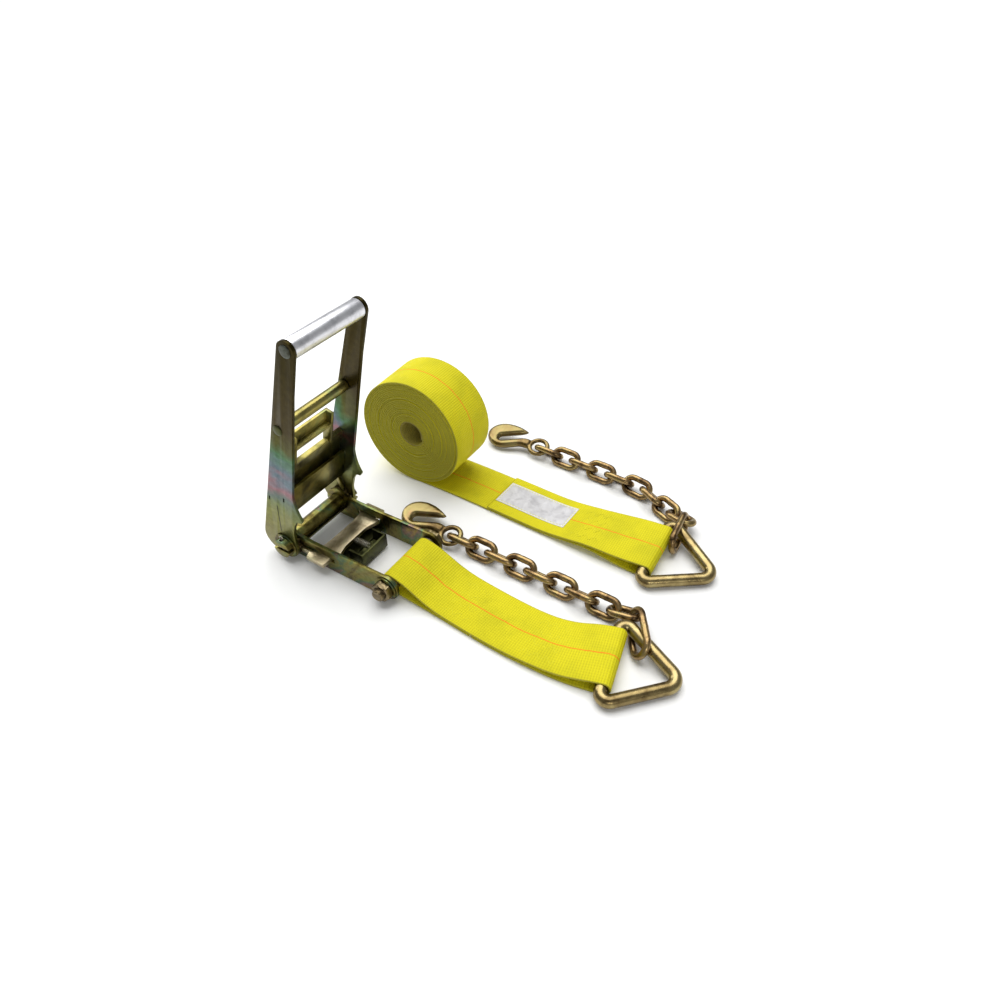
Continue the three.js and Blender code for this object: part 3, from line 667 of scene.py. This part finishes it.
def wire_loop(name, points, wire, matrix, look, weld_at, sides=20):
    """Round wire along a closed flat centreline, with the low bead of its butt weld."""
    count = len(points)
    tangent = unit_rows(np.roll(points, -1, axis=0) - np.roll(points, 1, axis=0))
    out = np.column_stack([tangent[:, 1], -tangent[:, 0]])
    vertices = []
    for i in range(count):
        away = np.linalg.norm(points[i] - np.array(weld_at))
        radius = wire / 2 * (1 + 0.055 * math.exp(-((away / 1.7) ** 2)))
        for turn in turns(sides):
            flat = points[i] + out[i] * radius * math.cos(turn)
            vertices.append(matrix @ Vector((flat[0] * MM, flat[1] * MM, radius * math.sin(turn) * MM)))
    return outward(piece(name, vertices, grid_faces(count, sides, True), look))


def node_frame(node):
    """A node's middle and its longest, second and shortest directions, from its own points."""
    points = np.array([v.co for v in frame["nodes"][node].data.vertices], float)
    points = np.unique(np.round(points, 6), axis=0)
    middle = points.mean(axis=0)
    _, directions = np.linalg.eigh(np.cov((points - middle).T))
    return points, middle, directions[:, 2], directions[:, 1], directions[:, 0]


def basis(along, across, normal, position):
    """The matrix that lays X, Y and Z along the three directions, at the position."""
    matrix = Matrix((along, across, normal)).transposed().to_4x4()
    matrix.translation = Vector(position)
    return matrix


def make_link(side, number):
    node = f"{side}_chain_link_{number:02d}"
    _, middle, along, across, _ = node_frame(node)
    normal = np.cross(along, across)
    matrix = basis(Vector(along), Vector(across), Vector(normal), middle)
    sizes = (END_INNER_MM, END_INNER_WIDTH_MM) if number == 1 else (CHAIN_INNER_MM, CHAIN_INNER_WIDTH_MM)
    points = resampled(stadium(*sizes, CHAIN_WIRE_MM), 84 if number == 1 else 68)
    weld = (0, (sizes[1] + CHAIN_WIRE_MM) / 2)
    made = wire_loop(node + "_wire", points, CHAIN_WIRE_MM, matrix, "chain", weld)
    stand_for(made, node, "chain_steel", node)


def make_ring(side):
    node = f"delta_ring_{side}"
    points, _, along, _, normal = node_frame(node)
    line = delta()
    # the base bar is the longest direction, and the ring lies nearly level with its apex towards +X
    y_axis = Vector(along if along[1] > 0 else -along)
    z_axis = Vector(normal if normal[2] > 0 else -normal)
    x_axis = y_axis.cross(z_axis)
    reach = points @ np.array(x_axis)
    across = points @ np.array(y_axis)
    level = points @ np.array(z_axis)
    apex = x_axis * (reach.max() - (line[:, 0].max() + RING_WIRE_MM / 2) * MM)
    origin = apex + y_axis * ((across.max() + across.min()) / 2) + z_axis * ((level.max() + level.min()) / 2)
    matrix = basis(x_axis, y_axis, z_axis, origin)
    made = wire_loop(node + "_wire", resampled(line, 150), RING_WIRE_MM, matrix, "ring", (0, 8), 32)
    stand_for(made, node, "chain_steel", node)


# ---------- webbing ----------
def strap_section(edge_steps=4, face_steps=6):
    """(across, up) points in millimetres round a strap's section, with rounded selvedges."""
    thin = WEB_THICK_MM / 2
    flat = WEB_WIDTH_MM / 2 - thin
    face = [flat * (1 - 2 * k / face_steps) for k in range(face_steps + 1)]
    bends = [math.pi * k / edge_steps for k in range(1, edge_steps)]
    edge = [(flat + thin * math.sin(turn), thin * math.cos(turn)) for turn in bends]
    return ([(y, thin) for y in face] + [(-y, z) for y, z in edge]
            + [(-y, -thin) for y in face] + [(y, -z) for y, z in edge])


# How far before the ring a strap runs straight into it, and starts to lean with it.
LOOP_RUN_MM, LEAN_RUN_MM = 20.0, 90.0


class StrapCourse:
    """Where a strap runs in plan: from its start at its first slope, in one bend, to its ring."""

    def __init__(self, start, slope, ring_x, ring_y, ring_yaw):
        self.x0, self.y0 = start
        self.slope0, self.slope1 = slope, math.tan(math.radians(ring_yaw))
        self.ring_x = ring_x
        self.x1, self.y1 = ring_x - LOOP_RUN_MM, ring_y - LOOP_RUN_MM * self.slope1

    def y(self, x):
        """The strap's middle at x: straight before its start and near its ring, a cubic between."""
        if x < self.x0:
            return self.y0 + self.slope0 * (x - self.x0)
        if x > self.x1:
            return self.y1 + self.slope1 * (x - self.x1)
        width = self.x1 - self.x0
        t = (x - self.x0) / width
        return ((2 * t**3 - 3 * t**2 + 1) * self.y0 + (t**3 - 2 * t**2 + t) * width * self.slope0
                + (-2 * t**3 + 3 * t**2) * self.y1 + (t**3 - t**2) * width * self.slope1)

    def bend(self, x, y, z):
        """A point of the strap built straight along X, moved onto the course, in the row frame."""
        turn = math.atan(self.y(x + 0.5) - self.y(x - 0.5))
        t = min(1.0, max(0.0, (x - self.ring_x + LEAN_RUN_MM) / (LEAN_RUN_MM - LOOP_RUN_MM)))
        share = t * t * (3 - 2 * t)
        return place(x - y * math.sin(turn), self.y(x) + y * math.cos(turn), z + RING_LEAN * y * share)


def flowing(points, step=4.0):
    """A smooth line through [x, z] points, as a Catmull-Rom curve."""
    pts = np.array([points[0]] + list(points) + [points[-1]], float)
    out = []
    for i in range(1, len(pts) - 2):
        p0, p1, p2, p3 = pts[i - 1:i + 3]
        count = max(2, int(np.linalg.norm(p2 - p1) / step))
        for k in range(count):
            t = k / count
            out.append(0.5 * ((2 * p1) + (p2 - p0) * t + (2 * p0 - 5 * p1 + 4 * p2 - p3) * t**2
                              + (3 * p1 - p0 - 3 * p2 + p3) * t**3))
    out.append(pts[-2])
    return out


def arc(x, z, radius, start, end, steps):
    """Points [x, z] round a centre, angles in degrees."""
    angles = [math.radians(start + (end - start) * k / steps) for k in range(steps + 1)]
    return [np.array([x + radius * math.cos(t), z + radius * math.sin(t)]) for t in angles]


def relaxed(line, rounds, held=()):
    """The line with its kinks eased; held is the ranges of indices that stay."""
    line = np.array(line)
    keep = np.zeros(len(line), bool)
    keep[[0, -1]] = True
    for first, last in held:
        keep[first:last] = True
    for _ in range(rounds):
        eased = line.copy()
        eased[1:-1] = line[1:-1] * 0.5 + (line[:-2] + line[2:]) * 0.25
        line = np.where(keep[:, None], line, eased)
    return line


def web_strip(name, line, course, look="webbing", wander=None):
    """A strap along the side-view centreline [x, z], swept with its section and bent onto its course."""
    line = np.array(line)
    tangent = unit_rows(np.gradient(line, axis=0))
    normal = np.column_stack([-tangent[:, 1], tangent[:, 0]])
    lengths = lengths_along(line)
    section = strap_section()
    vertices, weave = [], []
    for i, (x, z) in enumerate(line):
        slide = wander[i] if wander is not None else 0.0
        for across, up in section:
            px, pz = x + normal[i][0] * up, z + normal[i][1] * up
            vertices.append(course.bend(px, across + slide, pz))
            weave.append((lengths[i] * MM, across * MM, up * MM))
    made = outward(piece(name, vertices, tube_faces(len(line), len(section)), look))
    attribute = made.data.attributes.new("weave", "FLOAT_VECTOR", "POINT")
    attribute.data.foreach_set("vector", np.array(weave, np.float32).ravel())
    return made, lengths[-1] * MM


def stitches(name, rows, surface, course, body):
    """Raised lock stitches along rows of (x, across) points in millimetres on the strap's top surface."""
    vertices, faces = [], []
    length, radius, gap, sides = 3.6, 0.42, 1.0, 6
    profile = ((0, 0.25), (0.15, 0.85), (0.5, 1.0), (0.85, 0.85), (1, 0.25))
    for row in rows:
        row = np.array(row, float)
        marks = lengths_along(row)
        at = 0.0
        while at + length < marks[-1]:
            ends = [np.array([np.interp(m, marks, row[:, 0]), np.interp(m, marks, row[:, 1])])
                    for m in (at, at + length)]
            at += length + gap
            run = (ends[1] - ends[0]) / np.linalg.norm(ends[1] - ends[0])
            side = np.array([-run[1], run[0]])
            start = len(vertices)
            for share, fat in profile:
                middle = ends[0] + (ends[1] - ends[0]) * share
                for turn in turns(sides):
                    p = middle + side * radius * fat * math.cos(turn)
                    lift = radius * fat * math.sin(turn) * 0.8 + 0.12
                    vertices.append(course.bend(p[0], p[1], surface(p[0]) + lift))
            faces.extend(tuple(start + i for i in face) for face in tube_faces(len(profile), sides))
    made = outward(piece(name, vertices, faces, "thread"))
    return stand_for(made, body, "webbing")


def line_height(points):
    """The height of the smooth line through [x, z] points, as a function of x."""
    line = np.array(flowing(points))
    return lambda x: float(np.interp(x, line[:, 0], line[:, 1]))


# Each ring's bar: x, y, and its yaw in degrees.
FRONT_RING_MM, REAR_RING_MM = (423.5, 2.2, 11.8), (396.5, 186.7, 1.4)
RING_BAR_Z_MM = 14.6
BOLT_X_MM, BOLT_Z_MM, SLEEVE_MM = 150.5, 18.5, 11.0
ROLL_X_MM, ROLL_Y_MM, ROLL_Z_MM, ROLL_YAW = 42.0, 191.0, 80.8, 2.4
ROLL_RADIUS_MM, ROLL_CORE_MM = 80.3, 16.0
HALF_THICK, LOOP_GAP_MM = WEB_THICK_MM / 2, 0.35
LOOP_RADIUS_MM = RING_WIRE_MM / 2 + LOOP_GAP_MM + HALF_THICK
STITCH_ROWS_MM = (-24, -8, 8, 24)


def shifted(points, lift):
    """The [x, z] points, raised."""
    return [(x, z + lift) for x, z in points]


def make_short_strap():
    """One length of webbing: from under its middle, back to the end bolt and round its sleeve, over to the
    ring, round the ring's bar and back under, to end a few millimetres short of where it began."""
    ring_x, ring_y, yaw = FRONT_RING_MM
    course = StrapCourse((BOLT_X_MM + LOOP_RUN_MM, 0.0), 0.0, ring_x, ring_y, yaw)
    sleeve = SLEEVE_MM + LOOP_GAP_MM + HALF_THICK
    # [x, z] along the top face of the upper layer, and the bottom face of the lower one
    top = [(176, 25), (196, 14), (222, 8), (270, 7), (330, 8.5), (380, 14), (402, 22.3)]
    bottom = [(180, 2.2), (215, 1.2), (270, 0.8), (330, 1.4), (380, 3.3), (402, 4.3)]
    upper = shifted(top, -HALF_THICK)
    lower = shifted(bottom, HALF_THICK)
    gap_x = 272.0
    back = [p for p in flowing(list(reversed(lower))) if p[0] < gap_x]
    line = back + arc(BOLT_X_MM, BOLT_Z_MM, sleeve, -97, -285, 26)
    line += flowing([(BOLT_X_MM + 6, BOLT_Z_MM + sleeve - 1)] + upper)[1:]
    ring = arc(ring_x, RING_BAR_Z_MM, LOOP_RADIUS_MM, 90, -90, 22)
    held = (len(line) + 3, len(line) + len(ring) - 3)
    line += ring + [p for p in flowing(list(reversed(lower))) if p[0] > gap_x + 1]
    line = relaxed(line, 14, [held])
    made, length = web_strip("short_strap_webbing", line, course)
    stand_for(made, "short_strap", "webbing", "short_strap")
    rows = [zigzag(x0, x1, y) for x0, x1 in ((212, 258), (330, 378)) for y in STITCH_ROWS_MM]
    stitches("short_strap_stitching", rows, line_height(top), course, "short_strap")


def zigzag(x0, x1, y, wide=4.5, step=6.0):
    """A row of stitching from x0 to x1 that swings either side of y."""
    count = int((x1 - x0) / step)
    return [(x0 + (x1 - x0) * k / count, y + (wide if k % 2 else -wide)) for k in range(count + 1)]


# [x, z] along the top face of the tail's upper layer, and the bottom face of its lower one.
LONG_TOP = [(167, 6.3), (190, 6.6), (248, 7), (280, 10.5), (315, 16.5), (345, 19.5), (374, 22)]
LONG_BOTTOM = [(68, 0.5), (120, 0.5), (190, 0.9), (248, 1.4), (280, 4.8), (315, 9.5), (345, 8), (374, 4.3)]


def make_long_strap():
    """One length of webbing: wound outwards from the core, along the tail, round the ring and back."""
    ring_x, ring_y, yaw = REAR_RING_MM
    course = StrapCourse((ROLL_X_MM, ROLL_Y_MM), math.tan(math.radians(ROLL_YAW)), ring_x, ring_y, yaw)
    inner, outer = ROLL_CORE_MM + HALF_THICK, ROLL_RADIUS_MM - HALF_THICK
    windings = (outer - inner) / WEB_THICK_MM
    per_turn = 60
    steps = int(windings * per_turn)
    spiral = []
    for k in range(steps + 1):
        share = k / steps
        turn = math.radians(-90) - 2 * math.pi * windings * (1 - share)
        radius = inner + (outer - inner) * share
        spiral.append(np.array([ROLL_X_MM + radius * math.cos(turn), ROLL_Z_MM + radius * math.sin(turn)]))
    # each turn of the winding lies a little to one side or the other of the last
    drift = [0.45 * math.sin(0.9 * k / per_turn * 2.4) + 0.3 * math.sin(2.9 * k / per_turn + 1.0)
             for k in range(steps + 1)]
    lower = flowing([(ROLL_X_MM + 2, 0.5 + HALF_THICK)] + shifted(LONG_BOTTOM, HALF_THICK))
    ring = arc(ring_x, RING_BAR_Z_MM, LOOP_RADIUS_MM, -90, 90, 22)
    upper = flowing(list(reversed(shifted(LONG_TOP, -HALF_THICK))))
    start = len(spiral)
    line = spiral + lower
    held = [(0, start), (len(line) + 3, len(line) + len(ring) - 3)]
    line = relaxed(line + ring + upper, 14, held)
    wander = drift + [drift[-1] * max(0.0, 1 - k / 12) for k in range(len(line) - len(drift))]
    made, length = web_strip("long_strap_webbing", line, course, "rolled_webbing", wander)
    stand_for(made, "long_strap", "webbing", "long_strap_roll", "long_strap_tail")
    surface = line_height(LONG_TOP)
    rows = [zigzag(171, 205, y) for y in (-31, 31)] + [zigzag(290, 330, y) for y in STITCH_ROWS_MM]
    stitches("long_strap_stitching", rows, surface, course, "long_strap")
    make_label(course, surface)


LABEL_X0_MM, LABEL_X1_MM, LABEL_Y0_MM, LABEL_Y1_MM = 169.0, 276.0, -20.0, 24.0
LABEL_LIFT_MM, LABEL_THICK_MM, LABEL_SEAM_MM = 0.16, 0.5, 2.5


def make_label(course, surface):
    """The tag sewn on the strap: a thin sheet, slightly rumpled, and a row of stitches inside its edge."""
    columns, rows = 54, 22
    top, bottom, inset = [], [], []
    for i in range(columns + 1):
        x = LABEL_X0_MM + (LABEL_X1_MM - LABEL_X0_MM) * i / columns
        for j in range(rows + 1):
            y = LABEL_Y0_MM + (LABEL_Y1_MM - LABEL_Y0_MM) * j / rows
            edge = min(i, columns - i, j * 1.5, (rows - j) * 1.5) / 8
            puff = 0.28 * min(1.0, edge) * (1 + math.sin(x * 0.21 + 0.7) * math.cos(y * 0.33))
            top.append(course.bend(x, y, surface(x) + LABEL_LIFT_MM + LABEL_THICK_MM + puff))
            bottom.append(course.bend(x, y, surface(x) + LABEL_LIFT_MM))
            inset.append(min(x - LABEL_X0_MM, LABEL_X1_MM - x, y - LABEL_Y0_MM, LABEL_Y1_MM - y) * MM)
    count, across = len(top), rows + 1
    faces = grid_faces(columns + 1, across, False, False)
    faces += [tuple(count + i for i in reversed(face)) for face in faces]
    rim = list(range(across)) + [i * across + rows for i in range(1, columns + 1)]
    rim += [columns * across + j for j in reversed(range(rows))]
    rim += [i * across for i in reversed(range(1, columns))]
    faces += [(a, b, count + b, count + a) for a, b in zip(rim, rim[1:] + rim[:1])]
    made = outward(piece("strap_label_cloth", top + bottom, faces, "label"))
    made.data.attributes.new("inset", "FLOAT", "POINT").data.foreach_set("value", inset + inset)
    stand_for(made, "long_strap", "label", "strap_label")
    x0, x1 = LABEL_X0_MM + LABEL_SEAM_MM, LABEL_X1_MM - LABEL_SEAM_MM
    y0, y1 = LABEL_Y0_MM + LABEL_SEAM_MM, LABEL_Y1_MM - LABEL_SEAM_MM
    border = [[(x0, y0), (x1, y0)], [(x1, y0), (x1, y1)], [(x1, y1), (x0, y1)], [(x0, y1), (x0, y0)]]
    level = LABEL_LIFT_MM + LABEL_THICK_MM
    stitches("label_stitching", border, lambda x: surface(x) + level, course, "long_strap")


# ---------- ratchet, in metres ----------
BOLT_RADIUS, BOLT_HOLE, BOLT_HEAD, BOLT_FLATS = 0.0079, 0.00835, 0.00815, 0.024
SPOOL_HOLE, SPOOL_WASHER = 0.01335, 0.0175
GRIP_BORE, CROSS_BORE, CROSS_RADIUS = 0.0095, 0.0052, 0.0072


def hex_band(flats, y0, y1, x, z, inner=None, turn=0.0):
    """A hexagon nut or head across y0 to y1, its corners chamfered at both faces."""
    sides, apothem = 72, flats / 2
    corner = apothem / math.cos(math.pi / 6)

    def radius(angle, limit):
        within = (angle + turn) % (math.pi / 3) - math.pi / 6
        return min(apothem / math.cos(within), limit)

    chamfer = (y1 - y0) * 0.14
    levels = [(y0, apothem * 0.97), (y0 + chamfer, corner), (y1 - chamfer, corner), (y1, apothem * 0.97)]
    vertices = [(x + radius(t, limit) * math.cos(t), y, z + radius(t, limit) * math.sin(t))
                for y, limit in levels for t in turns(sides)]
    if inner is None:
        return vertices, tube_faces(len(levels), sides)
    ease = 0.0006
    bore = [(inner + ease, y1), (inner, y1 - ease), (inner, y0 + ease), (inner + ease, y0)]
    return vertices + circles(bore, x, z, sides), grid_faces(len(levels) + len(bore), sides, True)


def thread(radius, y0, y1, x, z, pitch=0.0015, depth=0.0008):
    """A threaded stud end: a rod whose surface follows the helix of its thread."""
    sides, rows = 36, int((y1 - y0) / pitch * 8)
    vertices = []
    for i in range(rows + 1):
        y = y0 + (y1 - y0) * i / rows
        chamfer = max(0.0, 0.0012 - (y - y0)) * 0.8
        for k, turn in enumerate(turns(sides)):
            phase = (y / pitch + k / sides) % 1.0
            r = radius - depth * max(0.0, 1 - 2 * abs(2 * phase - 1)) - chamfer
            vertices.append((x + r * math.cos(turn), y, z + r * math.sin(turn)))
    return vertices, tube_faces(rows + 1, sides)


def rounded_rod(radius, y0, y1, x, z, edge=0.0008):
    """A rod along Y with its two end edges rounded over."""
    rings = [(radius - edge, y0), (radius - edge * 0.3, y0 + edge * 0.3), (radius, y0 + edge)]
    rings += [(r, y0 + y1 - y) for r, y in reversed(rings)]
    return turned(rings, x, z)


def washer(inner, outer, y0, y1, x, z, edge=0.0004):
    """A washer or a sleeve along Y, chamfered at its outer edges."""
    rings = [(inner, y0), (outer - edge, y0), (outer, y0 + edge)]
    rings += [(outer, y1 - edge), (outer - edge, y1), (inner, y1)]
    return turned_ring(rings, x, z)


def make_end_bolt():
    x, _, z = centre("end_bolt_sleeve")
    y0, y1 = span("end_bolt", 1)
    nut0, nut1 = span("end_bolt_nut", 1)
    head0 = y1 - BOLT_HEAD
    bolt = [rounded_rod(BOLT_RADIUS, nut0 - 0.0002, head0 + 0.001, x, z),
            hex_band(BOLT_FLATS, head0, y1, x, z), thread(BOLT_RADIUS, y0, nut0, x, z)]
    made = joined_pieces("end_bolt_turned", bolt, "bolt")
    stand_for(made, "frame", "plated_steel", "end_bolt")
    nut = hex_band(BOLT_FLATS, nut0, nut1, x, z, BOLT_HOLE, 0.2)
    made = joined_pieces("end_bolt_nut_turned", [nut], "bolt")
    stand_for(made, "frame", "plated_steel", "end_bolt_nut")
    for node, look in (("end_bolt_washer", "plate"), ("end_bolt_sleeve", "pawl")):
        low, high = span(node, 1)
        outer = (span(node, 0)[1] - span(node, 0)[0]) / 2
        made = joined_pieces(node + "_turned", [washer(BOLT_HOLE, outer, low, high, x, z)], look)
        stand_for(made, "frame", "plated_steel", node)


def make_frame():
    for side in ("near", "far"):
        machined(f"frame_side_plate_{side}", "frame", "plated_steel", "plate", 0.8, 3)
    # the cross web takes the near-black painted shade look
    machined("frame_cross_web", "frame", "plated_steel", "web", 0.6, 2)
    make_end_bolt()


def helix(name, start, end, radius, wire, coils, look):
    """A round-wire coil spring between two points."""
    axis = (end - start).normalized()
    side = axis.cross(Vector((0, 1, 0.3))).normalized()
    other = axis.cross(side)
    steps, sides = coils * 20, 8
    vertices = []
    for i in range(steps + 1):
        turn = 2 * math.pi * coils * i / steps
        out = side * math.cos(turn) + other * math.sin(turn)
        middle = start + (end - start) * (i / steps) + out * radius
        for around in turns(sides):
            vertices.append(middle + out * wire * math.cos(around) + axis * wire * math.sin(around))
    return outward(piece(name, vertices, tube_faces(steps + 1, sides), look))


def make_pawls():
    machined("frame_pawl", "frame_pawl", "plated_steel", "pawl", 0.6, 2)
    machined("handle_pawl", "handle_pawl", "plated_steel", "bar", 0.7, 2)
    low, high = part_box("frame_pawl_spring")
    middle = (low + high) / 2
    ends = [Vector((x, middle.y, middle.z)) for x in (low.x, high.x)]
    made = helix("frame_pawl_coil", *ends, 0.0039, 0.0007, 9, "spring")
    stand_for(made, "frame_pawl", "spring_steel", "frame_pawl_spring")
    middle = centre("handle_pawl_spring")
    reach = HANDLE_UP * 0.029
    made = helix("handle_pawl_coil", middle - reach, middle + reach, 0.0034, 0.0006, 20, "spring")
    stand_for(made, "handle_pawl", "spring_steel", "handle_pawl_spring")


def make_cotter(side):
    """A split pin: a looped eye above, two legs through the spool, their tips spread."""
    node = f"cotter_pin_{side}"
    low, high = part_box(node)
    x, y = (low.x + high.x) / 2, (low.y + high.y) / 2
    wire = 0.00085
    path = [(-0.0011, low.z + 0.0004), (-0.0009, low.z + 0.004), (-0.0009, high.z - 0.0066)]
    path += [(-0.0024 * math.sin(t), high.z - 0.0033 - 0.0024 * math.cos(t))
             for t in [math.pi * (0.12 + 1.76 * k / 14) for k in range(15)]]
    path += [(0.0009, high.z - 0.0066), (0.0009, low.z + 0.006), (0.0011, low.z + 0.0016)]
    path = np.array(flowing(path, 0.0008))
    sides, vertices = 10, []
    for (px, pz), (tx, tz) in zip(path, unit_rows(np.gradient(path, axis=0))):
        for turn in turns(sides):
            out = wire * math.cos(turn)
            vertices.append((x + px - tz * out, y + wire * math.sin(turn), pz + tx * out))
    made = outward(piece(node + "_wire", vertices, tube_faces(len(path), sides), "spring"))
    stand_for(made, "spool", "spring_steel", node)


def make_spool():
    for half in ("upper", "lower"):
        machined(f"spool_half_{half}", "spool", "plated_steel", "plate", 0.5, 2)
    for side in ("near", "far"):
        machined(f"ratchet_wheel_{side}", "spool", "plated_steel", "bolt", 0.3, 1)
        node = f"spool_washer_{side}"
        low, high = span(node, 1)
        x, _, z = centre(node)
        disc = washer(SPOOL_HOLE, SPOOL_WASHER, low, high, x, z)
        stand_for(joined_pieces(node + "_turned", [disc], "plate"), "spool", "plated_steel", node)
        make_cotter(side)


def domed_rivet(node, head, shank, look):
    """A rivet through both handle plates: a shank and a low dome at each end."""
    y0, y1 = span(node, 1)
    middle = centre(node)
    thick = 0.00155
    parts = [rounded_rod(shank, y0 + thick, y1 - thick, middle.x, middle.z)]
    for end, way in ((y0, 1), (y1, -1)):
        rings = [(head * math.sin(t), end + way * thick * (1 - math.cos(t)))
                 for t in [math.pi / 2 * (0.02 + 0.98 * k / 7) for k in range(8)]]
        parts.append(turned(rings, middle.x, middle.z, 40))
    return joined_pieces(node + "_turned", parts, look)


def make_handle():
    for side in ("near", "far"):
        machined(f"handle_side_plate_{side}", "handle", "plated_steel", "handle", 0.9, 3)
    machined("handle_guide_plate", "handle", "plated_steel", "bar", 0.6, 2)

    y0, y1 = span("handle_grip_tube", 1)
    middle = centre("handle_grip_tube")
    radius = (span("handle_grip_tube", 0)[1] - span("handle_grip_tube", 0)[0]) / 2
    rings = [(GRIP_BORE, y0), (radius - 0.0012, y0), (radius - 0.0003, y0 + 0.0005), (radius, y0 + 0.0016)]
    rings += [(r, y0 + y1 - y) for r, y in reversed(rings)]
    made = joined_pieces("handle_grip_turned", [turned_ring(rings, middle.x, middle.z, 96)], "grip")
    stand_for(made, "handle", "grip_steel", "handle_grip_tube")

    y0, y1 = span("handle_cross_tube", 1)
    x, _, z = centre("handle_cross_tube")
    tube = washer(CROSS_BORE, CROSS_RADIUS, y0, y1, x, z)
    made = joined_pieces("handle_cross_tube_turned", [tube], "bar")
    stand_for(made, "handle", "plated_steel", "handle_cross_tube")
    # the cross rivet takes the cross web's painted shade look
    for node, head, shank, look in (("handle_grip_bolt", 0.0075, 0.005, "rivet"),
                                    ("handle_cross_rivet", 0.0065, 0.004, "web")):
        stand_for(domed_rivet(node, head, shank, look), "handle", "plated_steel", node)


make_frame()
make_pawls()
make_spool()
make_handle()
for side in ("front", "rear"):
    make_ring(side)
    for number in range(1, 11):
        make_link(side, number)
    forged(f"grab_hook_{side}", f"grab_hook_{side}", "chain_steel", "hook")
make_short_strap()
make_long_strap()
